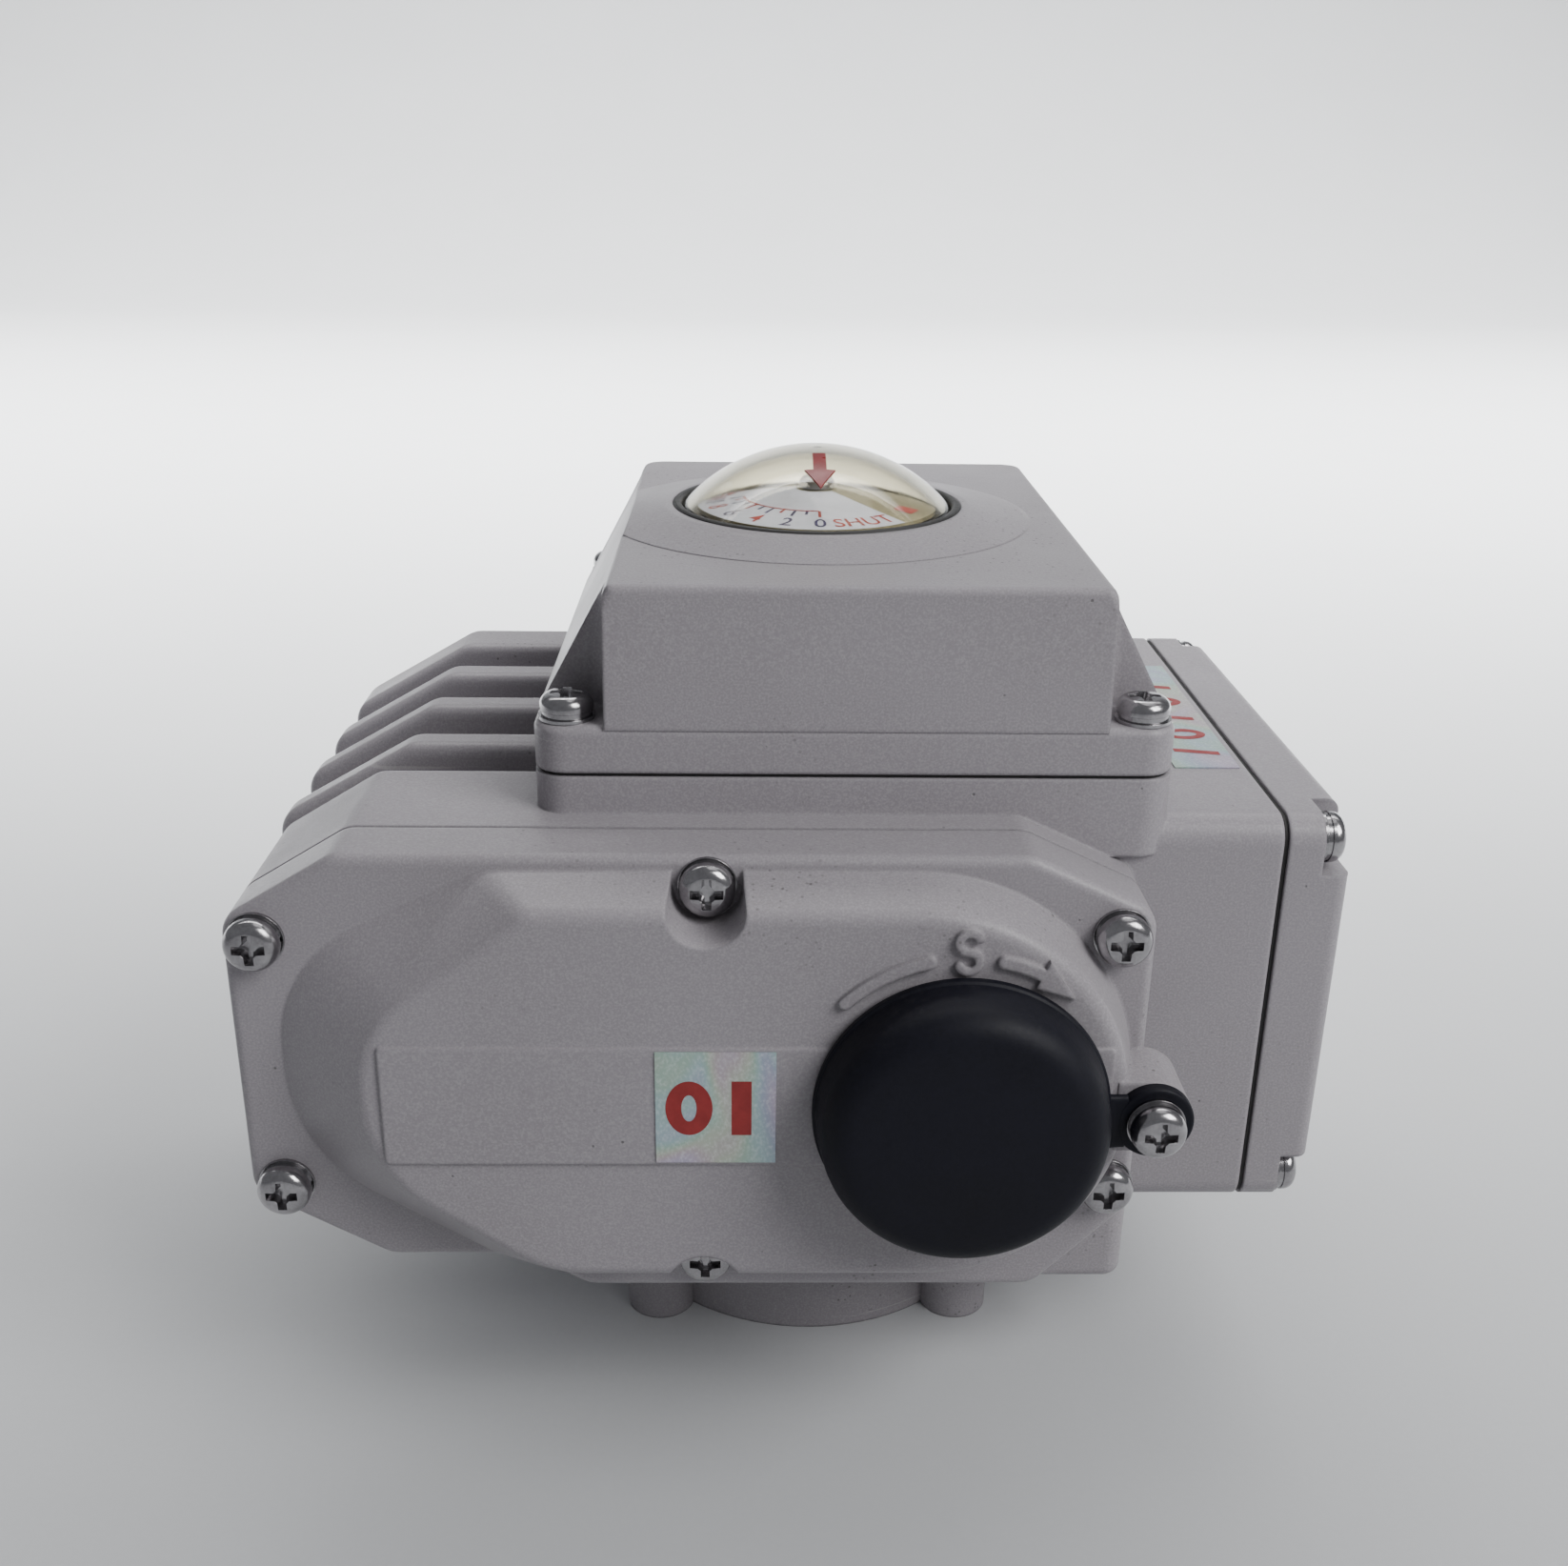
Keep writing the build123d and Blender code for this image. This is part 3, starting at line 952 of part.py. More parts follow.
bells = []
for y, seat in ((BELL_Y[0], -42.3), (BELL_Y[1], BELL_Y[1] - 0.3)):
    with BuildPart() as bell:
        rod("y", (MOTOR_XZ[0], y - 2.5 if y < 0 else y, MOTOR_XZ[1]), MOTOR_R, 6.0)
        rod("y", (MOTOR_XZ[0], -60, MOTOR_XZ[1]), 5.0, 120, Mode.SUBTRACT)
        rod("y", (MOTOR_XZ[0], seat, MOTOR_XZ[1]), 7.02, 5.2, Mode.SUBTRACT)
        for x, z in TIE_SPOTS:
            rod("y", (x, -60, z), 1.6, 120, Mode.SUBTRACT)
    bells.append(bell.part)
save(group(bells), "motor_end_bells")
bearings += ball_bearing(MOTOR_XZ[0], -42.2, MOTOR_XZ[1], 2.5, 7.0, 5.0)
bearings += ball_bearing(MOTOR_XZ[0], BELL_Y[1], MOTOR_XZ[1], 2.5, 7.0, 4.8)
save(group(bearings), "ball_bearings")
tie_bolts = []
for x, z in TIE_SPOTS:
    with BuildPart() as tie:
        rod("y", (x, -42.2, z), 1.5, 77.0)
        with BuildSketch(front_plane(BELL_Y[1] + 6.0)):
            with Locations((x, z)):
                RegularPolygon(2.55, 6)
        extrude(amount=-2.4)
    tie_bolts.append(tie.part)
save(group(tie_bolts), "motor_tie_bolts")

# ---------------------------------------------------------------- output shaft and worm wheel
SHAFT_FOOT_Z = 1.0
with BuildPart() as output_shaft:
    rod("z", (0, 0, SHAFT_FOOT_Z), SHAFT_STEP[0], 50.0)
    rod("z", (0, 0, 51.0), SHAFT_STEP[1], 31.0)
    rod("z", (0, 0, 82.0), SHAFT_STEP[2], 30.0)
    rod("z", (0, 0, 112.0), SHAFT_STEP[3], 12.0)
    chamfer(output_shaft.faces().sort_by(Axis.Z)[0].edges(), 0.6)
    with BuildSketch(Plane.XY.offset(SHAFT_FOOT_Z)) as socket:
        Rectangle(SOCKET_FLAT, SOCKET_FLAT)
        fillet(socket.vertices(), 0.6)
    extrude(amount=SOCKET_DEPTH, mode=Mode.SUBTRACT)
    # Seal groove above the socket
    rod("z", (0, 0, 19.0), SHAFT_STEP[0] + 1, 2.6, Mode.SUBTRACT)
    rod("z", (0, 0, 18.9), 10.3, 2.8)
    rod("z", (0, 0, 118.0), 1.5, 7.0, Mode.SUBTRACT)
save(output_shaft.part, "output_shaft")

with BuildPart() as output_seal:
    with BuildSketch(Plane.XZ):
        with Locations((11.35, 20.3)):
            Circle(0.98)
    revolve(axis=Axis.Z)
save(output_seal.part, "output_seal")

with BuildPart() as lower_bush:
    rod("z", (0, 0, BUSH_Z + 0.05), BUSH_R - 0.02, CHAMBER_FLOOR_Z - BUSH_Z - 0.1)
    rod("z", (0, 0, BUSH_Z - 1), SHAFT_STEP[0] + 0.06, 30, Mode.SUBTRACT)

with BuildPart() as stop_arm:
    with BuildSketch(Plane.XY.offset(51.1)):
        Circle(11.0)
        with BuildLine():
            arm = [(0.0, 0.0)] + [
                step_from((0, 0), STOP_REST - STOP_ARM_HALF + 2 * STOP_ARM_HALF * i / 6, 16.2) for i in range(7)]
            Polyline(*arm, close=True)
        make_face()
        Circle(SHAFT_STEP[1] + 0.02, mode=Mode.SUBTRACT)
    extrude(amount=4.6)
save(stop_arm.part, "stop_arm")

stop_pins = []
for angle in STOP_ANGLES:
    x, y = step_from((0, 0), angle, STOP_RING_R)
    with BuildPart() as stop_pin:
        rod("z", (x, y, CHAMBER_FLOOR_Z - 5.9), STOP_PIN_R, 12.0)
        chamfer(stop_pin.faces().sort_by(Axis.Z)[-1].edges(), 0.4)
    stop_pins.append(stop_pin.part)
save(group(pins + stop_pins), "steel_pins")

WHEEL_Z = (62.6, 69.4)
with BuildPart() as worm_wheel:
    with BuildSketch(Plane.XY.offset(WHEEL_Z[0])):
        Polygon(*gear_profile(WORM_WHEEL_TEETH, WORM_MODULE, 180 / WORM_WHEEL_TEETH, 0.2, 1.0, 1.25), align=None)
    extrude(amount=WHEEL_Z[1] - WHEEL_Z[0])
    rod("z", (0, 0, 55.8), 10.6, 22.0)
    rod("z", (0, 0, 50.0), SHAFT_STEP[1] + 0.02, 40, Mode.SUBTRACT)
save(worm_wheel.part, "worm_wheel")

with BuildPart() as bearing_plate:
    rod("z", (0, 0, SEAT_Z + 0.05), SEAT_R - 0.1, FLOOR_Z - SEAT_Z - 0.1)
    rod("z", (0, 0, SEAT_Z - 3.0), 12.0, 4.0)
    rod("z", (0, 0, SEAT_Z - 4.0), 9.0, 12.0, Mode.SUBTRACT)
    with PolarLocations(20.6, 3, 30):
        with Locations((0, 0, SEAT_Z - 1)):
            Cylinder(1.65, 8, align=(Align.CENTER, Align.CENTER, Align.MIN), mode=Mode.SUBTRACT)
save(bearing_plate.part, "bearing_plate")
with BuildPart() as upper_bush:
    rod("z", (0, 0, 82.4), 8.98, 3.4)
    rod("z", (0, 0, 81.0), SHAFT_STEP[2] + 0.06, 6, Mode.SUBTRACT)
save(group([lower_bush.part, upper_bush.part]), "output_bushes")
plate_screws += [
    pan_head("z", (*step_from((0, 0), a, 20.6), FLOOR_Z - 0.05), 8.0, 2.7, 1.9, 1.5) for a in (30, 150, 270)]
save(group(plate_screws), "plate_screws")

# ---------------------------------------------------------------- cams, switches and position sensor
CAM_R = 12.0
CAM_LOBE_R = 15.0
CAM_T = 4.0
LOBE_HALF = 14.0
SWITCH_ANGLE = 75.0         # direction of the switch rollers from the stem
CAM_Z = (93.0, 99.6)
for name, foot_z, lobe_at in (("shut_cam", CAM_Z[0], SWITCH_ANGLE + 14), ("open_cam", CAM_Z[1], SWITCH_ANGLE - 104)):
    with BuildPart() as cam:
        with BuildSketch(Plane.XY.offset(foot_z)):
            Circle(CAM_R)
            with BuildLine():
                lobe = [(0.0, 0.0)] + [
                    step_from((0, 0), lobe_at - LOBE_HALF + 2 * LOBE_HALF * i / 8, CAM_LOBE_R) for i in range(9)]
                Polyline(*lobe, close=True)
            make_face()
        extrude(amount=CAM_T)
        rod("z", (0, 0, foot_z - 1.4), 9.0, 1.6)
        rod("z", (0, 0, foot_z - 2), SHAFT_STEP[2] + 0.02, 10, Mode.SUBTRACT)
    save(cam.part, name)

STEM_GEAR_TEETH = 36
SENSOR_TEETH = 20
SENSOR_ANGLE = 250.0
sensor_distance = MODULE * (STEM_GEAR_TEETH + SENSOR_TEETH) / 2
SENSOR_XY = step_from((0, 0), SENSOR_ANGLE, sensor_distance)
SENSOR_PHASE = meshed_phase(SENSOR_ANGLE, STEM_GEAR_TEETH, 0.0, SENSOR_TEETH)
with BuildPart() as stem_gear:
    with BuildSketch(Plane.XY.offset(88.4)):
        Polygon(*gear_profile(STEM_GEAR_TEETH, MODULE, 0.0), align=None)
    extrude(amount=2.4)
    rod("z", (0, 0, 86.6), 9.4, 2.0)
    rod("z", (0, 0, 86), SHAFT_STEP[2] + 0.02, 10, Mode.SUBTRACT)
save(stem_gear.part, "stem_gear")
with BuildPart() as sensor_gear:
    with BuildSketch(Plane.XY.offset(88.4)):
        with Locations(Location((*SENSOR_XY, 0))):
            Polygon(*gear_profile(SENSOR_TEETH, MODULE, SENSOR_PHASE), align=None)
    extrude(amount=2.4)
    rod("z", (*SENSOR_XY, 86.8), 3.6, 2.0)
    rod("z", (*SENSOR_XY, 86.8), 1.9, 9.2)
save(sensor_gear.part, "sensor_gear")

with BuildPart() as sensor_bracket:
    block((SENSOR_XY[0] - 12, SENSOR_XY[0] + 12), (-37.0, SENSOR_XY[1] + 4.5), (91.3, 92.3))
    block((SENSOR_XY[0] - 12, SENSOR_XY[0] + 12), (-37.0, -36.0), (FLOOR_Z + 0.05, 92.3))
    block((SENSOR_XY[0] - 12, SENSOR_XY[0] + 12), (-40.6, -36.0), (FLOOR_Z + 0.05, FLOOR_Z + 1.05))
    rod("z", (*SENSOR_XY, 90), 2.1, 4, Mode.SUBTRACT)
with BuildPart() as sensor_body:
    rod("z", (*SENSOR_XY, 92.2), 6.8, 8.75)
    fillet(sensor_body.faces().sort_by(Axis.Z)[-1].edges(), 0.8)
    rod("z", (*SENSOR_XY, 92.0), 1.95, 4.4, Mode.SUBTRACT)
    for dx in (-3.0, 0.0, 3.0):
        block((SENSOR_XY[0] + dx - 0.6, SENSOR_XY[0] + dx + 0.6), (SENSOR_XY[1] - 11.0, SENSOR_XY[1] - 5.5), (97.0, 97.5))
with BuildPart() as position_sensor:
    add(sensor_bracket.part)
    add(sensor_body.part)
save(position_sensor.part, "position_sensor")

SWITCH_X = (-12.0, 9.0)
SWITCH_Y = (19.4, 29.4)
ROLLER_XY = (4.1, 16.6)
LEVER_PIVOT_XY = (-10.2, 18.0)
bodies = []
for name, foot_z in (("shut", CAM_Z[0]), ("open", CAM_Z[1])):
    middle = foot_z + CAM_T / 2
    with BuildPart() as body:
        block(SWITCH_X, SWITCH_Y, (middle - 3.1, middle + 3.1))
        fillet(body.edges().filter_by(Axis.Z), 0.5)
        for z in (middle - 3.1, middle + 2.1):
            block((-12.0, -9.0), (17.0, 19.6), (z, z + 1.0))
        for x in (-7.0, 4.0):
            rod("z", (x, 26.0, middle - 4), 1.1, 8, Mode.SUBTRACT)
        for x in (-9.0, -1.5, 6.0):
            block((x - 0.25, x + 0.25), (29.2, 33.4), (middle - 1.6, middle + 1.6))
    bodies.append(body.part)
    with BuildPart() as lever:
        block((LEVER_PIVOT_XY[0], 6.4), (17.6, 18.1), (middle - 1.6, middle + 1.6))
        rod("z", (*LEVER_PIVOT_XY, middle - 1.7), 0.7, 3.4)
        rod("z", (*ROLLER_XY, middle - 1.3), 1.25, 2.6)
    save(lever.part, f"{name}_switch_lever")
save(group(bodies), "limit_switches")

with BuildPart() as switch_bracket:
    block((-14.0, 11.0), (20.0, 31.0), (88.0, 89.4))
    for x in (-7.0, 4.0):
        rod("z", (x, 26.0, FLOOR_Z + 0.05), 2.6, 2.2)
        rod("z", (x, 26.0, FLOOR_Z), 1.1, 4, Mode.SUBTRACT)
        rod("z", (x, 26.0, 89.2), 2.2, 2.4)
        rod("z", (x, 26.0, 89.0), 1.1, 4, Mode.SUBTRACT)
save(switch_bracket.part, "switch_bracket")
top_of_switches = CAM_Z[1] + CAM_T / 2 + 3.1
save(group([
    pan_head("z", (x, 26.0, top_of_switches), top_of_switches - 86.4, 1.9, 1.4, 1.0) for x in (-7.0, 4.0)
]), "switch_screws")

# ---------------------------------------------------------------- wiring compartment
TERMINALS = 8
TERMINAL_STEP = 6.0
BLOCK_Y = (-30.0, -30.0 + TERMINALS * TERMINAL_STEP + 2.0)
BLOCK_Z = (70.0, 86.0)
with BuildPart() as terminal_block:
    block((WIRING_ROOM[0][0] + 0.05, 56.0), BLOCK_Y, BLOCK_Z)
    for i in range(TERMINALS + 1):
        y = BLOCK_Y[0] + TERMINAL_STEP * i
        block((55.0, 61.0), (y, y + 1.4), BLOCK_Z)
    for i in range(TERMINALS):
        y = BLOCK_Y[0] + TERMINAL_STEP * (i + 0.5) + 0.7
        for z in (BLOCK_Z[0] + 4.2, BLOCK_Z[1] - 4.2):
            rod("-x", (56.0, y, z), 1.55, 5, Mode.SUBTRACT)
save(terminal_block.part, "terminal_block")
tags = []
for i in range(TERMINALS):
    y = BLOCK_Y[0] + TERMINAL_STEP * (i + 0.5) + 0.7
    for z in (BLOCK_Z[0] + 4.2, BLOCK_Z[1] - 4.2):
        tags.append(pan_head("x", (56.05, y, z), 4.6, 2.1, 1.6, 1.5))
save(group(tags), "terminal_screws")

CAPACITOR = (56.8, -38.0, 47.6, 9.0, 34.0)
with BuildPart() as run_capacitor:
    rod("y", CAPACITOR[:3], CAPACITOR[3], CAPACITOR[4])
    fillet(run_capacitor.edges(), 1.2)
    for dz in (-3.0, 3.0):
        block((56.4, 57.2), (-4.2, 0.6), (CAPACITOR[2] + dz - 1.4, CAPACITOR[2] + dz + 1.4))
save(run_capacitor.part, "run_capacitor")
glands, nuts, rubbers = [], [], []
back_y = WIRING_Y[1]
for z in GLAND_Z:
    with BuildPart() as gland:
        rod("-y", (GLAND_X, back_y + 0.05, z), GLAND_HOLE_R - 0.02, 7.0)
        with BuildSketch(front_plane(back_y + 5.0)):
            with Locations((GLAND_X, z)):
                RegularPolygon(12.2, 6)
        extrude(amount=4.95)
        rod("y", (GLAND_X, back_y + 5.0, z), 8.8, 6.0)
        rod("-y", (GLAND_X, back_y + 12, z), 6.0, 24.0, Mode.SUBTRACT)
    glands.append(gland.part)
    with BuildPart() as nut:
        with BuildSketch(front_plane(back_y + 13.0)):
            with Locations((GLAND_X, z)):
                RegularPolygon(12.2, 6)
        extrude(amount=7.6)
        rod("y", (GLAND_X, back_y + 13.0, z), 10.2, 3.0)
        fillet(nut.faces().sort_by(Axis.Y)[-1].edges(), 1.6)
        rod("y", (GLAND_X, back_y + 5.0, z), 8.85, 6.4, Mode.SUBTRACT)
        rod("y", (GLAND_X, back_y + 5.0, z), 5.4, 14.0, Mode.SUBTRACT)
    nuts.append(nut.part)
    with BuildPart() as rubber:
        rod("y", (GLAND_X, back_y + 3.0, z), 5.95, 8.0)
        rod("y", (GLAND_X, back_y + 11.0, z), 5.3, 4.4)
        rod("y", (GLAND_X, back_y + 2.0, z), 3.5, 20.0, Mode.SUBTRACT)
    rubbers.append(rubber.part)
save(group(glands), "gland_bodies")
save(group(nuts), "gland_nuts")
save(group(rubbers), "gland_seals")
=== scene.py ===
import json
import math

import bmesh
import bpy
import numpy as np
from mathutils import Matrix, Vector


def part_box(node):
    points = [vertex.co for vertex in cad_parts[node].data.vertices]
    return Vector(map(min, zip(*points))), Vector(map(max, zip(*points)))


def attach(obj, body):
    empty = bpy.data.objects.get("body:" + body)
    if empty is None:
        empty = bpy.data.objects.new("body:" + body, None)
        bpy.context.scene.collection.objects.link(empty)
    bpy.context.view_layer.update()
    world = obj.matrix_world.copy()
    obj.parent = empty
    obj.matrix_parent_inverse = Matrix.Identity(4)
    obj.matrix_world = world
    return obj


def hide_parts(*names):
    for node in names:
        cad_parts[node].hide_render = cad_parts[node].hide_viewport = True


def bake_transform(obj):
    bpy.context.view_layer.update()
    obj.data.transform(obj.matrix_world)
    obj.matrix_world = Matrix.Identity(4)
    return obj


bl_info = {
    "name": "Quarter-turn Valve Actuator",
    "version": (1, 0, 0),
    "blender": (4, 5, 0),
    "location": "View3D > Sidebar > Actuator",
    "description": "Finishes, rubber cap, dome, dial print and labels of an electric quarter-turn actuator",
    "category": "Add Mesh",
}

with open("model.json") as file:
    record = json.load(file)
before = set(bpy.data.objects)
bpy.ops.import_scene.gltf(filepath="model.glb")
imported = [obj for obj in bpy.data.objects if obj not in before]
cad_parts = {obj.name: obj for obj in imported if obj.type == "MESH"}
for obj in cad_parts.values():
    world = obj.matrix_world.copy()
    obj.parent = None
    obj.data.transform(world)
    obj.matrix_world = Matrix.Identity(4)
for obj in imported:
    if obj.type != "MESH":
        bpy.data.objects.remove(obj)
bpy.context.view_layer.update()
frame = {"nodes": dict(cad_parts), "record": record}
NODES = frame["nodes"]
MM = 0.001

# Which nodes take each finish, from the part's own material slots
SLOT_NODES = {}
for entry in frame["record"]["subparts"]:
    SLOT_NODES.setdefault(entry["material_slot"], []).append(entry["node"])


# ------------------------------------------------------------------ meshes
def grid_faces(rows, columns, wrap_rows=False, wrap_columns=False):
    """Quads between neighbouring points of a grid; a wrapped direction joins its last line to its first."""
    row = np.arange(rows if wrap_rows else rows - 1)
    column = np.arange(columns if wrap_columns else columns - 1)
    i, j = np.meshgrid(row, column, indexing="ij")
    i_next, j_next = (i + 1) % rows, (j + 1) % columns
    corners = [i * columns + j, i_next * columns + j, i_next * columns + j_next, i * columns + j_next]
    return np.stack(corners, -1).reshape(-1, 4)


def close_mesh(mesh):
    """Merge the doubled points of seams and poles, turn every face outwards and shade it smooth."""
    shape = bmesh.new()
    shape.from_mesh(mesh)
    bmesh.ops.remove_doubles(shape, verts=shape.verts, dist=1e-6)
    bmesh.ops.dissolve_degenerate(shape, edges=shape.edges, dist=1e-7)
    bmesh.ops.recalc_face_normals(shape, faces=shape.faces)
    shape.to_mesh(mesh)
    shape.free()
    mesh.polygons.foreach_set("use_smooth", np.full(len(mesh.polygons), True))
    mesh.update()


def make_piece(name, points, faces, finish):
    """One object at the origin, its place held in its points, in metres."""
    mesh = bpy.data.meshes.new(name)
    mesh.from_pydata(np.asarray(points, float).reshape(-1, 3).tolist(), [], np.asarray(faces).tolist())
    close_mesh(mesh)
    mesh.materials.append(finish)
    piece = bpy.data.objects.new(name, mesh)
    bpy.context.scene.collection.objects.link(piece)
    return piece


def join_parts(parts):
    """Stack several (points, faces) pairs into one pair, all faces with four corners."""
    points, faces, count = [], [], 0
    for part_points, part_faces in parts:
        part_points = np.asarray(part_points, float).reshape(-1, 3)
        points.append(part_points)
        faces.append(np.asarray(part_faces) + count)
        count += len(part_points)
    return np.concatenate(points), np.concatenate(faces)


def fillet_points(before, corner, after, radius, steps=8):
    """Arc of the given radius that rounds one corner of a profile.
    It starts and ends where the two straight sides touch the circle."""
    before, corner, after = (np.asarray(p, float) for p in (before, corner, after))
    into = (before - corner) / np.linalg.norm(before - corner)
    out = (after - corner) / np.linalg.norm(after - corner)
    half = math.acos(float(np.clip(into @ out, -1, 1))) / 2
    middle = (into + out) / np.linalg.norm(into + out)
    centre = corner + middle * radius / math.sin(half)
    first = corner + into * radius / math.tan(half) - centre
    last = corner + out * radius / math.tan(half) - centre
    turn = math.atan2(first[0] * last[1] - first[1] * last[0], first @ last)
    angle = np.linspace(0, turn, steps)
    cos, sin = np.cos(angle), np.sin(angle)
    return centre + np.stack([first[0] * cos - first[1] * sin, first[0] * sin + first[1] * cos], -1)


def rounded_profile(corners, radii):
    """Profile of straight sides with each corner rounded by its own radius; radius 0 keeps it sharp."""
    out = [np.asarray([corners[0]], float)]
    for i in range(1, len(corners) - 1):
        if radii[i] > 0:
            out.append(fillet_points(corners[i - 1], corners[i], corners[i + 1], radii[i]))
        else:
            out.append(np.asarray([corners[i]], float))
    out.append(np.asarray([corners[-1]], float))
    return np.concatenate(out)


def turned(profile, segments=144):
    """Surface of revolution about Z: a point (r, h) of the profile at angle a stands at
    (r cos a, r sin a, h)."""
    angle = np.linspace(0, 2 * math.pi, segments, endpoint=False)[:, None]
    r, h = profile[None, :, 0], profile[None, :, 1]
    points = np.stack([r * np.cos(angle), r * np.sin(angle), h + 0 * angle], -1)
    return points.reshape(-1, 3), grid_faces(segments, len(profile), wrap_rows=True)


# ------------------------------------------------------------------ node trees
def node(tree, kind, inputs=None, **settings):
    """Add one node, set its properties, then set or link its inputs by name or number."""
    made = tree.nodes.new(kind)
    for key, value in settings.items():
        setattr(made, key, value)
    for key, value in (inputs or {}).items():
        socket = made.inputs[key]
        if isinstance(value, bpy.types.NodeSocket):
            tree.links.new(value, socket)
        else:
            socket.default_value = value
    return made


def ramp(tree, value, low, high, low_out=0.0, high_out=1.0):
    """Value carried from one range to another, held at both ends."""
    inputs = {"Value": value, "From Min": low, "From Max": high, "To Min": low_out, "To Max": high_out}
    return node(tree, "ShaderNodeMapRange", inputs, clamp=True).outputs["Result"]


def sums(tree, operation, a, b):
    """Result of one arithmetic operation on two values."""
    return node(tree, "ShaderNodeMath", {0: a, 1: b}, operation=operation).outputs[0]


def mixed(tree, amount, a, b, blend="MIX"):
    """Colour a turning to colour b by an amount."""
    made = node(tree, "ShaderNodeMix", {0: amount, 6: a, 7: b}, data_type="RGBA", blend_type=blend)
    return made.outputs[2]


def noise(tree, place, scale, detail=2.0, rough=0.5, distortion=0.0):
    """Smooth random value over the surface, between 0 and 1."""
    inputs = {"Vector": place, "Scale": scale, "Detail": detail, "Roughness": rough}
    inputs["Distortion"] = distortion
    return node(tree, "ShaderNodeTexNoise", inputs).outputs["Fac"]


def object_place(tree):
    """Place on the piece in its own coordinates."""
    return node(tree, "ShaderNodeTexCoord").outputs["Object"]


def stretched(tree, place, scale, turn):
    """Place turned by three angles and stretched by three scales."""
    inputs = {"Vector": place, "Scale": scale, "Rotation": turn}
    return node(tree, "ShaderNodeMapping", inputs).outputs["Vector"]


def begin_group(name, inputs, outputs):
    """A node group with named sockets: inputs are (name, kind, default), outputs (name, kind)."""
    tree = bpy.data.node_groups.new(name, "ShaderNodeTree")
    for label, kind, value in inputs:
        socket = tree.interface.new_socket(label, in_out="INPUT", socket_type=kind)
        socket.default_value = value
    for label, kind in outputs:
        tree.interface.new_socket(label, in_out="OUTPUT", socket_type=kind)
    return tree, tree.nodes.new("NodeGroupInput").outputs, tree.nodes.new("NodeGroupOutput")


FLOAT, COLOUR, VECTOR = "NodeSocketFloat", "NodeSocketColor", "NodeSocketVector"


def build_cast_skin():
    """Powder coat on a die casting: broad tone, fine orange peel, pits, dark specks and pale scratches."""
    tree, given, out = begin_group(
        "Cast Skin",
        [("Paint", COLOUR, (0.5, 0.5, 0.5, 1)), ("Grime", COLOUR, (0.1, 0.09, 0.08, 1)),
         ("Roughness", FLOAT, 0.4), ("Speck Amount", FLOAT, 0.5), ("Scratch Amount", FLOAT, 0.5)],
        [("Color", COLOUR), ("Roughness", FLOAT), ("Height", FLOAT)],
    )
    place = object_place(tree)
    broad = noise(tree, place, 16.0, 3.0)
    patch = noise(tree, place, 42.0, 4.0, 0.6)
    peel = noise(tree, place, 1500.0, 2.0)
    grain = noise(tree, place, 3200.0, 1.0)
    pits = node(tree, "ShaderNodeTexVoronoi", {"Vector": place, "Scale": 210.0}).outputs["Distance"]
    pit_mask = sums(tree, "MULTIPLY", ramp(tree, pits, 0.055, 0.03), ramp(tree, patch, 0.46, 0.56))
    specks = node(tree, "ShaderNodeTexVoronoi", {"Vector": place, "Scale": 760.0}).outputs["Distance"]
    speck_spread = sums(tree, "MULTIPLY", ramp(tree, patch, 0.5, 0.64), ramp(tree, broad, 0.4, 0.6))
    speck_mask = sums(tree, "MULTIPLY", ramp(tree, specks, 0.2, 0.12), speck_spread)
    speck_mask = sums(tree, "MULTIPLY", speck_mask, given["Speck Amount"])
    scratch_place = stretched(tree, place, (26.0, 26.0, 900.0), (0.4, 0.9, 0.3))
    scratch = ramp(tree, noise(tree, scratch_place, 1.0, 3.0, 0.55), 0.66, 0.7)
    scratch = sums(tree, "MULTIPLY", scratch, ramp(tree, broad, 0.52, 0.66))
    scratch = sums(tree, "MULTIPLY", scratch, given["Scratch Amount"])
    darker = mixed(tree, 1.0, given["Paint"], (0.9, 0.895, 0.885, 1), "MULTIPLY")
    colour = mixed(tree, ramp(tree, broad, 0.35, 0.65), given["Paint"], darker)
    glints = sums(tree, "MULTIPLY", ramp(tree, grain, 0.4, 0.75), 0.12)
    colour = mixed(tree, glints, colour, (0.8, 0.8, 0.8, 1))
    colour = mixed(tree, sums(tree, "MULTIPLY", pit_mask, 0.55), colour, given["Grime"])
    colour = mixed(tree, speck_mask, colour, given["Grime"])
    colour = mixed(tree, sums(tree, "MULTIPLY", scratch, 0.5), colour, (0.62, 0.61, 0.59, 1))
    rough = sums(tree, "ADD", given["Roughness"], ramp(tree, patch, 0.3, 0.7, -0.05, 0.08))
    rough = sums(tree, "ADD", rough, sums(tree, "MULTIPLY", speck_mask, 0.3))
    height = sums(tree, "ADD", sums(tree, "MULTIPLY", peel, 0.55), sums(tree, "MULTIPLY", patch, 0.8))
    height = sums(tree, "SUBTRACT", height, sums(tree, "MULTIPLY", pit_mask, 1.4))
    height = sums(tree, "SUBTRACT", height, sums(tree, "MULTIPLY", scratch, 0.3))
    tree.links.new(colour, out.inputs["Color"])
    tree.links.new(rough, out.inputs["Roughness"])
    tree.links.new(height, out.inputs["Height"])
    return tree


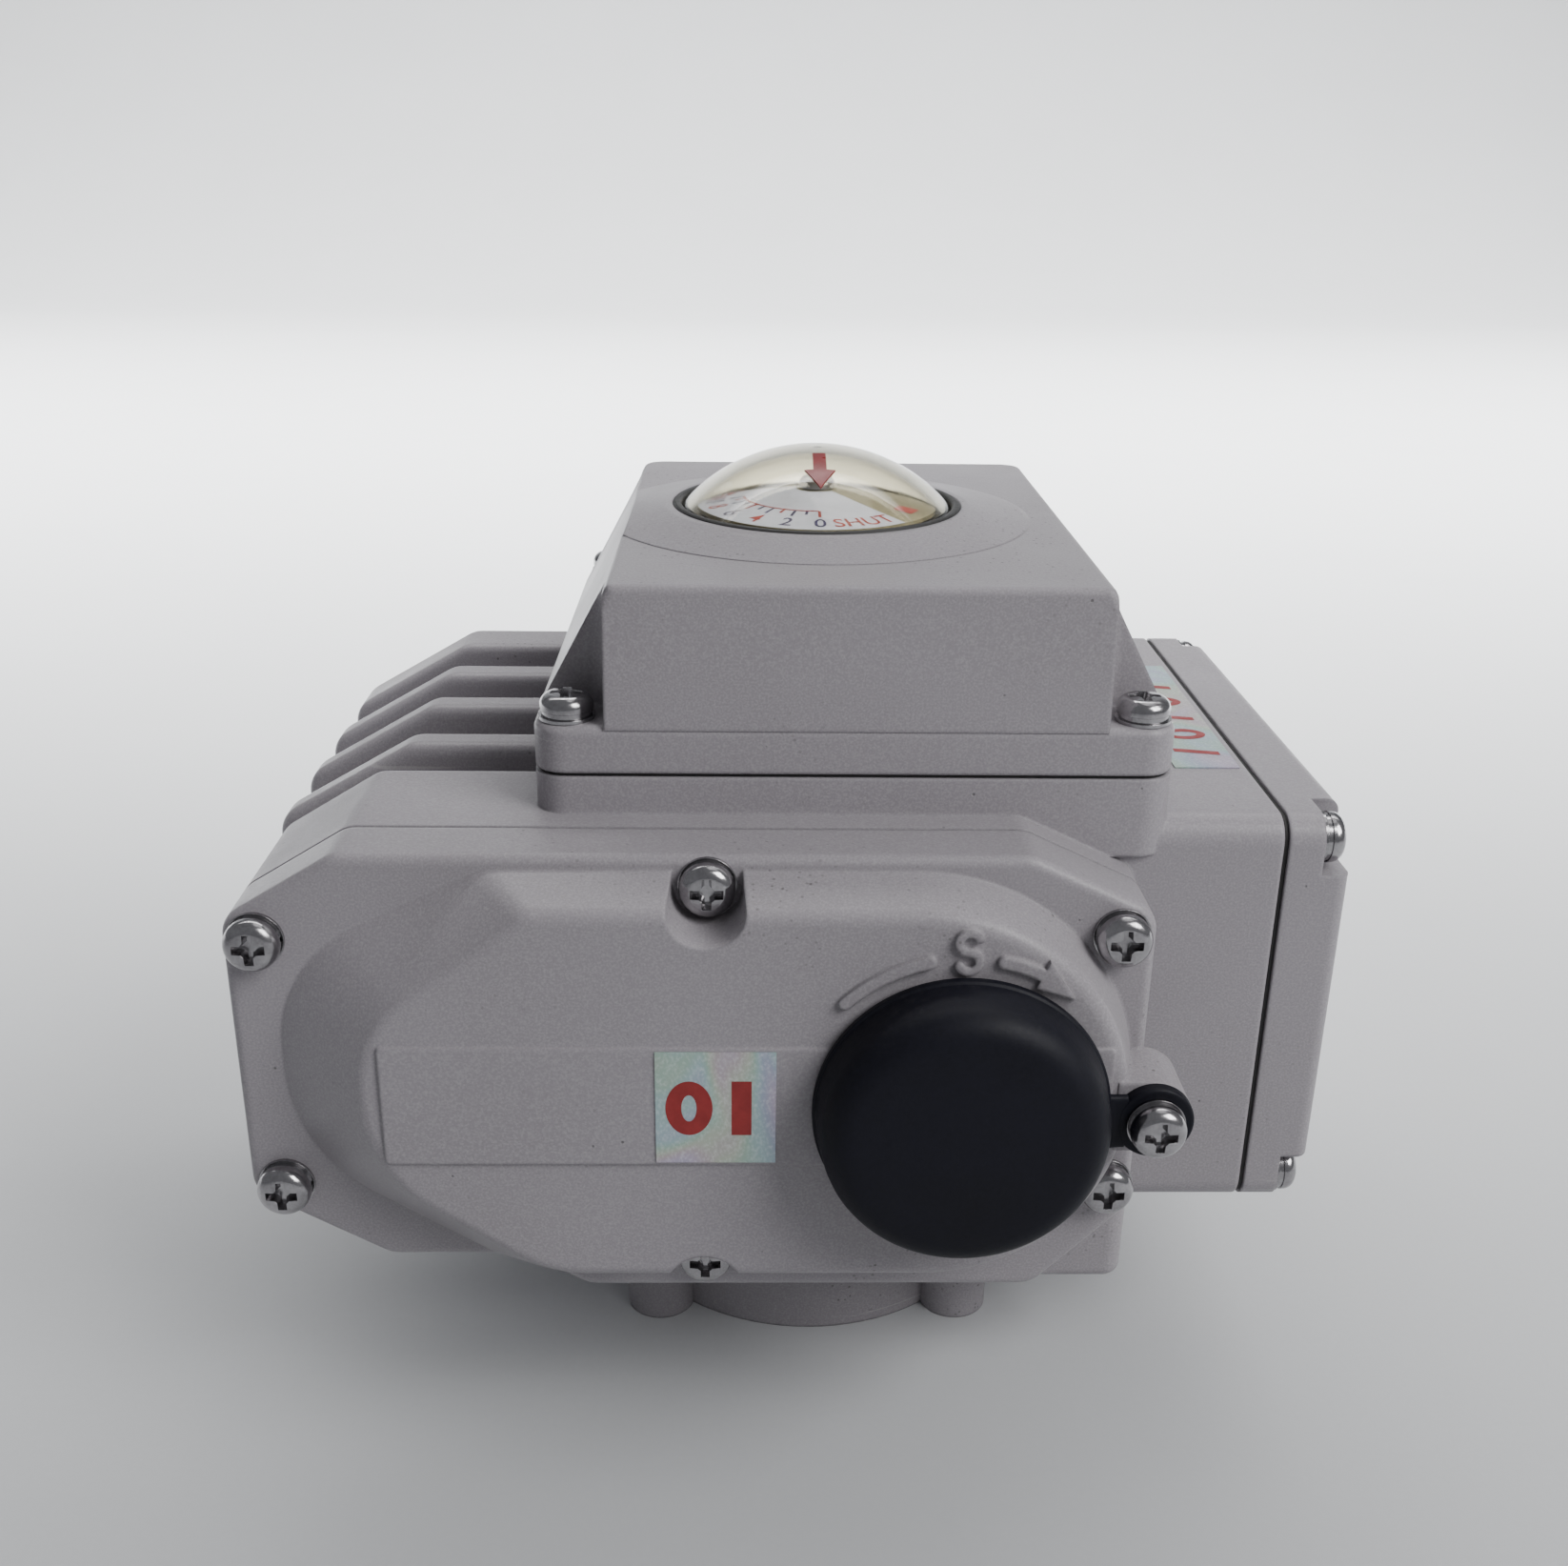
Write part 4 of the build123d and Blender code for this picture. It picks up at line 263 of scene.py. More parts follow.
def build_two_tone():
    """Two tones of one finish that drift into each other, with wandering roughness and a fine grain."""
    tree, given, out = begin_group(
        "Two Tone Grain",
        [("Tone A", COLOUR, (0.5, 0.5, 0.5, 1)), ("Tone B", COLOUR, (0.4, 0.4, 0.4, 1)),
         ("Patch Scale", FLOAT, 60.0), ("Grain Scale", FLOAT, 1500.0),
         ("Rough Low", FLOAT, 0.3), ("Rough High", FLOAT, 0.5)],
        [("Color", COLOUR), ("Roughness", FLOAT), ("Height", FLOAT)],
    )
    place = object_place(tree)
    patch = noise(tree, place, given["Patch Scale"], 4.0, 0.6)
    grain = noise(tree, place, given["Grain Scale"], 3.0)
    both = sums(tree, "ADD", sums(tree, "MULTIPLY", patch, 0.7), sums(tree, "MULTIPLY", grain, 0.3))
    colour = mixed(tree, ramp(tree, both, 0.38, 0.62), given["Tone A"], given["Tone B"])
    spread = sums(tree, "SUBTRACT", given["Rough High"], given["Rough Low"])
    share = ramp(tree, both, 0.35, 0.65)
    rough = sums(tree, "ADD", given["Rough Low"], sums(tree, "MULTIPLY", share, spread))
    tree.links.new(colour, out.inputs["Color"])
    tree.links.new(rough, out.inputs["Roughness"])
    tree.links.new(grain, out.inputs["Height"])
    return tree


def build_tool_marks():
    """Fine lines left by cutting or rolling: noise squeezed across the lines and drawn out along them."""
    tree, given, out = begin_group(
        "Tool Marks", [("Across", VECTOR, (40.0, 40.0, 3000.0))], [("Lines", FLOAT)]
    )
    factors = {0: object_place(tree), 1: given["Across"]}
    place = node(tree, "ShaderNodeVectorMath", factors, operation="MULTIPLY")
    tree.links.new(noise(tree, place.outputs[0], 1.0, 2.0, 0.6), out.inputs["Lines"])
    return tree


def build_dust():
    """Dust that settles on faces looking up, thicker in patches."""
    tree, given, out = begin_group(
        "Settled Dust", [("Amount", FLOAT, 0.4), ("Speck Scale", FLOAT, 1100.0)], [("Mask", FLOAT)]
    )
    place = object_place(tree)
    facing = node(tree, "ShaderNodeSeparateXYZ", {0: node(tree, "ShaderNodeNewGeometry").outputs["Normal"]})
    upward = ramp(tree, facing.outputs["Z"], 0.25, 0.95)
    patch = ramp(tree, noise(tree, place, 70.0, 5.0, 0.65), 0.42, 0.68)
    speck = ramp(tree, noise(tree, place, given["Speck Scale"], 2.0), 0.5, 0.72)
    mask = sums(tree, "MULTIPLY", upward, sums(tree, "MULTIPLY", patch, speck))
    tree.links.new(sums(tree, "MULTIPLY", mask, given["Amount"]), out.inputs["Mask"])
    return tree


def build_film_hues():
    """Pale rainbow of a diffraction film: hue that runs round the wheel as a slow noise drifts."""
    tree, given, out = begin_group(
        "Film Hues",
        [("Silver", COLOUR, (0.6, 0.65, 0.68, 1)), ("Strength", FLOAT, 0.5)],
        [("Color", COLOUR)],
    )
    place = stretched(tree, object_place(tree), (1.0, 1.0, 0.7), (0.2, 0.5, 0.1))
    drift = noise(tree, place, 75.0, 2.0, 0.4, 0.6)
    wave = sums(tree, "FRACT", sums(tree, "MULTIPLY", drift, 2.6), 0.0)
    hue = node(tree, "ShaderNodeCombineColor", {0: wave, 1: 0.32, 2: 0.8}, mode="HSV").outputs[0]
    fleck = noise(tree, place, 2600.0, 1.0)
    colour = mixed(tree, given["Strength"], given["Silver"], hue)
    colour = mixed(tree, ramp(tree, fleck, 0.45, 0.8, 0.0, 0.35), colour, (0.85, 0.88, 0.88, 1))
    tree.links.new(colour, out.inputs["Color"])
    return tree


GROUPS = {}


def prepare_groups():
    """Build the shared node groups once."""
    if not GROUPS:
        GROUPS["skin"] = build_cast_skin()
        GROUPS["tones"] = build_two_tone()
        GROUPS["marks"] = build_tool_marks()
        GROUPS["dust"] = build_dust()
        GROUPS["film"] = build_film_hues()


def placed_group(tree, key, inputs):
    """Place a shared group with its own values, and give back its outputs."""
    made = tree.nodes.new("ShaderNodeGroup")
    made.node_tree = GROUPS[key]
    for label, value in inputs.items():
        if isinstance(value, bpy.types.NodeSocket):
            tree.links.new(value, made.inputs[label])
        else:
            made.inputs[label].default_value = value
    return made.outputs


def blank_finish(name, metallic=0.0, coat=0.0, coat_roughness=0.2, ior=1.5, specular=0.5):
    """Material with one Principled shader, its even values on its own sockets."""
    prepare_groups()
    material = bpy.data.materials.new(name)
    material.use_nodes = True
    shader = material.node_tree.nodes["Principled BSDF"]
    shader.inputs["Metallic"].default_value = metallic
    shader.inputs["Coat Weight"].default_value = coat
    shader.inputs["Coat Roughness"].default_value = coat_roughness
    shader.inputs["IOR"].default_value = ior
    shader.inputs["Specular IOR Level"].default_value = specular
    return material, material.node_tree, shader


def bump_into(tree, shader, height, distance, rounding=0.0):
    """Bump node on the shader's normal; rounding is the radius by which sharp edges look softened."""
    inputs = {"Height": height, "Distance": distance, "Strength": 1.0}
    if rounding > 0:
        softened = node(tree, "ShaderNodeBevel", {"Radius": rounding}, samples=6)
        inputs["Normal"] = softened.outputs["Normal"]
    tree.links.new(node(tree, "ShaderNodeBump", inputs).outputs["Normal"], shader.inputs["Normal"])


def rgba(colour, factor=1.0):
    """Colour with its alpha, made lighter or darker by a factor."""
    return (colour[0] * factor, colour[1] * factor, colour[2] * factor, 1.0)


def grain_finish(name, colour, second, roughness, metallic=0.0, patch=60.0, grain=1500.0, depth=0.00002,
                 marks=None, dust=0.0, coat=0.0, rounding=0.0, specular=0.5):
    """Finish from the two-tone group, with optional cutting lines and dust."""
    material, tree, shader = blank_finish(name, metallic=metallic, coat=coat, specular=specular)
    tones = placed_group(tree, "tones", {
        "Tone A": rgba(colour), "Tone B": rgba(second), "Patch Scale": patch, "Grain Scale": grain,
        "Rough Low": roughness[0], "Rough High": roughness[1],
    })
    colour_out, height = tones["Color"], tones["Height"]
    if marks:
        lines = placed_group(tree, "marks", {"Across": marks})["Lines"]
        colour_out = mixed(tree, ramp(tree, lines, 0.35, 0.7, 0.0, 0.35), colour_out, rgba(second, 0.7))
        height = sums(tree, "ADD", height, lines)
    if dust > 0:
        mask = placed_group(tree, "dust", {"Amount": dust})["Mask"]
        colour_out = mixed(tree, mask, colour_out, (0.42, 0.4, 0.37, 1))
    tree.links.new(colour_out, shader.inputs["Base Color"])
    tree.links.new(tones["Roughness"], shader.inputs["Roughness"])
    bump_into(tree, shader, height, depth, rounding=rounding)
    return material


def dress(slot, material):
    """Give one material to every node of a material slot."""
    for name in SLOT_NODES[slot]:
        mesh = NODES[name].data
        mesh.materials.clear()
        mesh.materials.append(material)


# ------------------------------------------------------------------ settings
def colour_property(name, value, description):
    """Colour that a user can change."""
    return bpy.props.FloatVectorProperty(
        name=name, description=description, subtype="COLOR", size=3, min=0.0, max=1.0, default=value
    )


def length_property(name, value, description):
    """Length that a user can change, in metres."""
    return bpy.props.FloatProperty(
        name=name, description=description, default=value, subtype="DISTANCE", unit="LENGTH", precision=5
    )


def share_property(name, value, description):
    """Share between 0 and 1 that a user can change."""
    return bpy.props.FloatProperty(name=name, description=description, default=value, min=0.0, max=1.0,
                                   subtype="FACTOR")


def angle_property(name, value, description):
    """Angle that a user can change, given here in degrees."""
    return bpy.props.FloatProperty(name=name, description=description, default=math.radians(value),
                                   subtype="ANGLE", unit="ROTATION")


class CastingSettings(bpy.types.PropertyGroup):
    """Look of the painted castings."""

    paint: colour_property("Paint", (0.288, 0.268, 0.29), "Colour of the powder coat")
    grime: colour_property("Grime", (0.06, 0.055, 0.05), "Colour of specks and filled pits")
    roughness: share_property("Roughness", 0.4, "Mean roughness of the powder coat")
    specks: share_property("Specks", 0.75, "How strongly the dark specks show")
    scratches: share_property("Scratches", 0.6, "How strongly the pale scratches show")
    edge: length_property("Edge Softening", 0.0007, "Radius by which sharp casting edges look rounded")


class CapSettings(bpy.types.PropertyGroup):
    """Rubber cap over the manual drive."""

    rubber: colour_property("Rubber", (0.0042, 0.0043, 0.008), "Colour of the cap and its strap")
    wall: length_property("Wall", 0.0022, "Thickness of the cap's wall")
    shoulder: length_property("Shoulder Radius", 0.0042, "Rounding between the cap's face and its side")
    crown: length_property("Crown", 0.0005, "How far the middle of the face stands proud of its edge")
    lip: length_property("Lip", 0.0011, "Height of the plain lip at the foot of the cap")


class DomeSettings(bpy.types.PropertyGroup):
    """Clear dome."""

    tint: colour_property("Tint", (0.93, 0.89, 0.74), "Colour of the clear plastic")
    roughness: share_property("Roughness", 0.03, "Roughness of the clear plastic")


class DialSettings(bpy.types.PropertyGroup):
    """Print on the indicator dial, and the painted reflection of the dome on the dial beside the scale."""

    ground: colour_property("Ground", (0.44, 0.48, 0.66), "White ground of the scale")
    # Plate colour is a painted reflection: its olive stands for the dome's reflection on the dial beside the
    # scale
    shade: colour_property("Plate", (0.2, 0.185, 0.125), "Bare plate beside the scale")
    red: colour_property("Red", (0.3, 0.014, 0.016), "Red print")
    blue: colour_property("Blue", (0.03, 0.025, 0.12), "Dark blue print")
    step: angle_property("Scale Step", 9.0, "Angle of one unit of the scale")
    tick_radius: length_property("Tick Radius", 0.0112, "Inner radius of the ticks")
    text_radius: length_property("Figure Radius", 0.0171, "Radius of the foot of the figures")
    figure: length_property("Figure Height", 0.0029, "Height of the figures")


class LabelSettings(bpy.types.PropertyGroup):
    """Silver film labels and their marks."""

    silver: colour_property("Film", (0.225, 0.29, 0.32), "Colour of the film")
    ink: colour_property("Ink", (0.3, 0.02, 0.02), "Colour of the marks")
    mark: length_property("Mark Height", 0.0082, "Height of the ring and the bar on the front label")
    stroke: length_property("Stroke", 0.0021, "Width of the strokes")


class StageSettings(bpy.types.PropertyGroup):
    """Floor, lamps and camera."""

    place: bpy.props.FloatVectorProperty(
        name="Camera Place", description="Where the camera stands", size=3, subtype="TRANSLATION",
        unit="LENGTH", default=(-0.009982, -0.251866, 0.184527),
    )
    pitch: angle_property("Pitch", 21.614, "How far the camera looks down")
    roll: angle_property("Roll", 0.755, "Roll of the camera")
    yaw: angle_property("Yaw", 1.248, "Turn of the camera to its right")
    lens: bpy.props.FloatProperty(name="Lens", description="Focal length in millimetres for a 36 mm sensor",
                                  default=37.4, min=10.0)
    floor: colour_property("Floor", (0.56, 0.57, 0.58), "Colour of the floor")
    light: bpy.props.FloatProperty(name="Light", description="Strength of all lamps", default=1.0, min=0.0)


# ------------------------------------------------------------------ finishes
class ACTUATOR_OT_castings(bpy.types.Operator):
    """Paint the housing and its covers."""

    bl_idname = "actuator.castings"
    bl_label = "Painted Castings"

    def execute(self, context):
        look = context.scene.actuator_casting
        material, tree, shader = blank_finish("Powder Coat", specular=0.36, coat=0.03, coat_roughness=0.3)
        skin = placed_group(tree, "skin", {
            "Paint": rgba(look.paint), "Grime": rgba(look.grime), "Roughness": look.roughness,
            "Speck Amount": look.specks, "Scratch Amount": look.scratches,
        })
        dust = placed_group(tree, "dust", {"Amount": 0.22})["Mask"]
        colour = mixed(tree, dust, skin["Color"], (0.2, 0.185, 0.165, 1))
        tree.links.new(colour, shader.inputs["Base Color"])
        tree.links.new(skin["Roughness"], shader.inputs["Roughness"])
        bump_into(tree, shader, skin["Height"], 0.00006, rounding=look.edge)
        dress("paint", material)
        return {"FINISHED"}


class ACTUATOR_OT_metals(bpy.types.Operator):
    """Finish the screws, washers, shafts, gears, bushes, glands and motor metal."""

    bl_idname = "actuator.metals"
    bl_label = "Metal Parts"

    def execute(self, context):
        dress("zinc", grain_finish(
            "Nickel Plate", (0.44, 0.43, 0.44), (0.3, 0.29, 0.3), (0.12, 0.27), metallic=1.0,
            patch=300.0, grain=2600.0, depth=0.000008, dust=0.2, rounding=0.00012,
        ))
        dress("steel", grain_finish(
            "Turned Steel", (0.46, 0.46, 0.47), (0.3, 0.3, 0.31), (0.22, 0.42), metallic=1.0,
            depth=0.00001, marks=(60.0, 2600.0, 2600.0),
        ))
        dress("gear_steel", grain_finish(
            "Oiled Gear Steel", (0.34, 0.33, 0.31), (0.22, 0.2, 0.17), (0.18, 0.4), metallic=1.0,
            depth=0.00001, marks=(900.0, 60.0, 900.0), coat=0.4,
        ))
        dress("bronze", grain_finish(
            "Cut Bronze", (0.58, 0.36, 0.14), (0.4, 0.23, 0.09), (0.22, 0.42), metallic=1.0,
            depth=0.00001, marks=(60.0, 60.0, 2400.0),
        ))
        dress("lamination", grain_finish(
            "Stacked Sheet", (0.16, 0.16, 0.17), (0.07, 0.07, 0.08), (0.35, 0.6), metallic=0.8,
            depth=0.00003, marks=(20.0, 2400.0, 20.0),
        ))
        dress("copper", grain_finish(
            "Enamelled Wire", (0.5, 0.2, 0.08), (0.3, 0.1, 0.04), (0.2, 0.38), metallic=0.7,
            depth=0.00006, marks=(1400.0, 60.0, 1400.0), coat=0.6,
        ))
        dress("alloy", grain_finish(
            "Cast Alloy", (0.5, 0.5, 0.5), (0.38, 0.38, 0.38), (0.35, 0.55), metallic=1.0,
            grain=900.0, depth=0.00005,
        ))
        dress("spring_steel", grain_finish(
            "Rolled Spring Steel", (0.5, 0.5, 0.5), (0.38, 0.38, 0.4), (0.16, 0.32), metallic=1.0,
            depth=0.000008, marks=(60.0, 60.0, 2400.0),
        ))
        dress("brass", grain_finish(
            "Nickelled Brass", (0.62, 0.58, 0.46), (0.5, 0.45, 0.33), (0.18, 0.36), metallic=1.0,
            depth=0.00001, marks=(60.0, 2200.0, 60.0), rounding=0.0002,
        ))
        return {"FINISHED"}


class ACTUATOR_OT_mouldings(bpy.types.Operator):
    """Finish the gaskets, seals, switches, cams, dial and terminal block."""

    bl_idname = "actuator.mouldings"
    bl_label = "Plastic and Rubber Parts"

    def execute(self, context):
        dial = context.scene.actuator_dial
        dress("seal_rubber", grain_finish(
            "Gasket Rubber", (0.012, 0.012, 0.012), (0.022, 0.021, 0.02), (0.5, 0.7),
            grain=1200.0, depth=0.00003,
        ))
        dress("black_plastic", grain_finish(
            "Black Moulding", (0.016, 0.016, 0.018), (0.028, 0.028, 0.03), (0.35, 0.5),
            grain=2200.0, depth=0.00002,
        ))
        dress("nylon", grain_finish(
            "Natural Nylon", (0.62, 0.6, 0.52), (0.52, 0.49, 0.4), (0.35, 0.5), depth=0.00002,
        ))
        dress("terminal_green", grain_finish(
            "Terminal Moulding", (0.02, 0.16, 0.06), (0.015, 0.11, 0.045), (0.3, 0.45), depth=0.00002,
        ))
        # The dial beside the scale takes an olive painted reflection of the dome, not a plain plate colour
        dress("dial_white", grain_finish(
            "Dial Painted Reflection", dial.shade, rgba(dial.shade, 0.8), (0.35, 0.5), patch=140.0, depth=0.00001,
        ))
        dress("red", grain_finish(
            "Red Film", (0.24, 0.012, 0.013), (0.19, 0.009, 0.01), (0.25, 0.4), patch=300.0, depth=0.00001,
        ))
        return {"FINISHED"}


# ------------------------------------------------------------------ rubber cap
CAP_TAPER = math.tan(math.radians(8))
LIP_EDGE = 0.3 * MM             # small step and roundings at the cap's lip
CAP_INNER_EDGE = 1.5 * MM       # rounding in the bottom of the hollow
STRAP_HALF_WIDTH = 3.9 * MM
STRAP_FLARE = 1.5 * MM          # extra half width where the strap leaves the cap
STRAP_HALF_THICKNESS = 0.72 * MM
STRAP_START_INSIDE = 3.0 * MM   # how far the strap's ends reach into the cap and over the eyelet
STRAP_END_OVER = 0.9 * MM
STRAP_LIFT = 0.75 * MM          # middle of the strap above the cap's foot


def cap_profile(look, radius, depth):
    """Profile from the middle of the face round the shoulder, down the side and into the hollow.
    A point is (distance from the axis, height over the foot)."""
    face_r = radius - CAP_TAPER * (depth - look.crown)
    hollow = depth - look.wall
    corners = [
        (0.0, depth),
        (face_r * 0.35, depth - look.crown * 0.12),
        (face_r * 0.7, depth - look.crown * 0.5),
        (face_r, depth - look.crown),
        (radius - 0.35 * MM, look.lip + LIP_EDGE),
        (radius, look.lip),
        (radius, 0.0),
        (radius - look.wall, 0.0),
        (radius - look.wall - CAP_TAPER * hollow, hollow),
        (0.0, hollow),
    ]
    radii = [0, 0, 0, look.shoulder, 0.2 * MM, LIP_EDGE, LIP_EDGE, LIP_EDGE, CAP_INNER_EDGE, 0]
    return rounded_profile(corners, radii)


class ACTUATOR_OT_cap(bpy.types.Operator):
    """Turn the rubber cap and draw its strap to the eyelet.

    The cap is a turned profile: face, rounded shoulder, tapered side, plain lip and the hollow inside.
    The strap is a rounded oblong section carried along X, taller where it meets the cap."""

    bl_idname = "actuator.cap"
    bl_label = "Rubber Cap and Strap"

    def execute(self, context):
        look = context.scene.actuator_cap
        rubber = grain_finish("Cap Rubber", look.rubber, rgba(look.rubber, 1.7), (0.48, 0.62), patch=45.0,
                              grain=1600.0, depth=0.000025, dust=0.02, specular=0.2)
        dress("cap_rubber", rubber)
        low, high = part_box("manual_cap")
        radius = (high.z - low.z) / 2
        centre_x, centre_z = low.x + radius, (low.z + high.z) / 2
        depth = high.y - low.y
        points, faces = turned(cap_profile(look, radius, depth), 180)
        points = np.stack([centre_x + points[:, 0], high.y - points[:, 2], centre_z + points[:, 1]], -1)
        cap = make_piece("manual_cap_shell", points, faces, rubber)
        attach(cap, "cap_body")
        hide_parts("manual_cap")

        eye_low, eye_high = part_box("cap_strap")
        middle_z = (eye_low.z + eye_high.z) / 2
        start_x = centre_x + radius - STRAP_START_INSIDE
        end_x = eye_low.x + STRAP_END_OVER
        along = np.linspace(0, 1, 25)[:, None]
        around = np.linspace(0, 2 * math.pi, 40, endpoint=False)[None, :]
        half_z = STRAP_HALF_WIDTH + STRAP_FLARE * (1 - along) ** 3
        start_y, end_y = high.y - STRAP_LIFT, (eye_low.y + eye_high.y) / 2
        centre_y = start_y + (end_y - start_y) * (3 * along ** 2 - 2 * along ** 3)
        round_z = np.sign(np.cos(around)) * np.abs(np.cos(around)) ** 0.35
        round_y = np.sign(np.sin(around)) * np.abs(np.sin(around)) ** 0.5
        x = start_x + (end_x - start_x) * along + 0 * around
        rings = np.stack([x, centre_y + STRAP_HALF_THICKNESS * round_y, middle_z + half_z * round_z], -1)
        ends = [np.repeat(rings[i].mean(0)[None, None, :], rings.shape[1], 1) for i in (0, -1)]
        rings = np.concatenate([ends[0], rings, ends[1]])
        faces = grid_faces(rings.shape[0], rings.shape[1], wrap_columns=True)
        strap = make_piece("cap_strap_neck", rings, faces, rubber)
        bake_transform(strap)
        return {"FINISHED"}


# ------------------------------------------------------------------ dome
class ACTUATOR_OT_dome(bpy.types.Operator):
    """Make the dome clear plastic with hairline scuffs."""

    bl_idname = "actuator.dome"
    bl_label = "Clear Dome"

    def execute(self, context):
        look = context.scene.actuator_dome
        material, tree, shader = blank_finish("Clear Plastic", ior=1.42)
        shader.inputs["Transmission Weight"].default_value = 1.0
        tones = placed_group(tree, "tones", {
            "Tone A": rgba(look.tint), "Tone B": rgba(look.tint, 0.94), "Patch Scale": 90.0,
            "Grain Scale": 900.0, "Rough Low": look.roughness, "Rough High": look.roughness + 0.05,
        })
        tree.links.new(tones["Color"], shader.inputs["Base Color"])
        tree.links.new(tones["Roughness"], shader.inputs["Roughness"])
        lines = placed_group(tree, "marks", {"Across": (1400.0, 70.0, 70.0)})["Lines"]
        bump_into(tree, shader, sums(tree, "ADD", tones["Height"], lines), 0.000004)
        dress("clear", material)
        for name in SLOT_NODES["clear"]:
            NODES[name].visible_shadow = False
        return {"FINISHED"}


# ------------------------------------------------------------------ dial print
DIAL_BORE_R = 2.1 * MM
DIAL_DROP = 2.8 * MM            # how far the dial's edge lies below its middle
GROUND_R = 3.2 * MM             # inner radius of the white ground
GROUND_LIFT = 0.03 * MM
SPOT_LIFT = 0.04 * MM
PRINT_LIFT = 0.06 * MM
FRONT = math.radians(-90)       # direction of the scale's zero
GROUND_SPARE = math.radians(43)  # white ground past each end of the scale
WORD_SPARE = math.radians(24)   # middle of each word past its end of the scale
TICK_HALF = 0.2 * MM
LONG_TICK, SHORT_TICK = 2.3 * MM, 1.5 * MM
SPOT_R = (13.2 * MM, 16.2 * MM)
SPOT_TURN = (math.radians(14), math.radians(26))


def dial_surface(radius, lift):
    """Height of the dial's upper face at a radius, plus a lift; the dial is a shallow cone about Z."""
    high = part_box("indicator_dial")[1]
    return high.z - DIAL_DROP * (radius - DIAL_BORE_R) / (high.x - DIAL_BORE_R) + lift


def cone_patch(start, end, inner, outer, lift, steps=24):
    """Patch of the dial's cone between two angles and two radii, lifted off the face."""
    angle = np.linspace(start, end, steps)[:, None]
    radius = np.linspace(inner, outer, 5)[None, :]
    height = dial_surface(radius, lift) + 0 * angle
    points = np.stack([radius * np.cos(angle), radius * np.sin(angle), height], -1)
    return points.reshape(-1, 3), grid_faces(steps, 5)


def word_points(text, height):
    """Flat outline of a word as points and triangles, its foot on Y = 0 and its middle on X = 0."""
    curve = bpy.data.curves.new("word", "FONT")
    curve.body = text
    curve.align_x = "CENTER"
    curve.size = height / 0.7
    curve.offset = height * 0.012
    curve.resolution_u = 4
    holder = bpy.data.objects.new("word", curve)
    bpy.context.scene.collection.objects.link(holder)
    bpy.context.view_layer.update()
    shown = holder.evaluated_get(bpy.context.evaluated_depsgraph_get())
    mesh = bpy.data.meshes.new_from_object(shown)
    mesh.calc_loop_triangles()
    points = np.zeros(len(mesh.vertices) * 3)
    mesh.vertices.foreach_get("co", points)
    triangles = np.zeros(len(mesh.loop_triangles) * 3, np.int32)
    mesh.loop_triangles.foreach_get("vertices", triangles)
    bpy.data.objects.remove(holder)
    bpy.data.curves.remove(curve)
    bpy.data.meshes.remove(mesh)
    return points.reshape(-1, 3)[:, :2], triangles.reshape(-1, 3)


def word_on_dial(text, angle, foot_radius, height, lift):
    """Word bent round the dial: X runs round the circle of the foot, Y runs in towards the middle."""
    flat, triangles = word_points(text, height)
    radius = foot_radius - flat[:, 1]
    turn = angle + flat[:, 0] / foot_radius
    points = np.stack([radius * np.cos(turn), radius * np.sin(turn), dial_surface(radius, lift)], -1)
    return points, np.concatenate([triangles, triangles[:, 2:]], 1)


def print_layer(name, parts, finish, body):
    """Print as one open sheet that rides a body; triangles come with a repeated corner, dropped here."""
    points, faces = join_parts(parts)
    mesh = bpy.data.meshes.new(name)
    rows = [list(dict.fromkeys(face)) for face in faces.tolist()]
    mesh.from_pydata(points.tolist(), [], rows)
    mesh.materials.append(finish)
    piece = bpy.data.objects.new(name, mesh)
    bpy.context.scene.collection.objects.link(piece)
    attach(piece, body)
    return piece


class ACTUATOR_OT_dial(bpy.types.Operator):
    """Print the dial: white ground, scale from 0 to 10, and the words at its two ends."""

    bl_idname = "actuator.dial"
    bl_label = "Dial Print"

    def execute(self, context):
        look = context.scene.actuator_dial
        last = FRONT - 10 * look.step
        ground_start, ground_end = last - GROUND_SPARE, FRONT + GROUND_SPARE
        ground = grain_finish(
            "Dial Ground", look.ground, rgba(look.ground, 0.9), (0.4, 0.55), patch=180.0, depth=0.00001,
        )
        red = grain_finish(
            "Dial Red", look.red, rgba(look.red, 0.75), (0.4, 0.5), patch=500.0, depth=0.000005,
        )
        blue = grain_finish(
            "Dial Blue", look.blue, rgba(look.blue, 0.7), (0.4, 0.5), patch=500.0, depth=0.000005,
        )
        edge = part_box("indicator_dial")[1].x - 0.05 * MM
        field = cone_patch(ground_start, ground_end, GROUND_R, edge, GROUND_LIFT, 140)
        print_layer("dial_ground", [field], ground, "output_body")
        inner = look.tick_radius
        red_parts = [cone_patch(last, FRONT, inner - 0.2 * MM, inner + 0.15 * MM, PRINT_LIFT, 90)]
        blue_parts = []
        half = TICK_HALF / inner
        for unit in range(11):
            angle = FRONT - unit * look.step
            length = LONG_TICK if unit % 2 == 0 else SHORT_TICK
            tick = cone_patch(angle - half, angle + half, inner, inner + length, PRINT_LIFT, 3)
            (red_parts if unit % 3 == 0 else blue_parts).append(tick)
        for unit in range(0, 11, 2):
            angle = FRONT - unit * look.step
            figure = word_on_dial(str(unit), angle, look.text_radius, look.figure, PRINT_LIFT)
            (red_parts if unit in (4, 8) else blue_parts).append(figure)
        for word, angle in (("SHUT", FRONT + WORD_SPARE), ("OPEN", last - WORD_SPARE)):
            red_parts.append(word_on_dial(word, angle, look.text_radius, look.figure, PRINT_LIFT))
        print_layer("dial_red_print", red_parts, red, "output_body")
        print_layer("dial_blue_print", blue_parts, blue, "output_body")
        spot = cone_patch(ground_end + SPOT_TURN[0], ground_end + SPOT_TURN[1], *SPOT_R, SPOT_LIFT, 12)
        print_layer("dial_red_spot", [spot], red, "output_body")
        return {"FINISHED"}


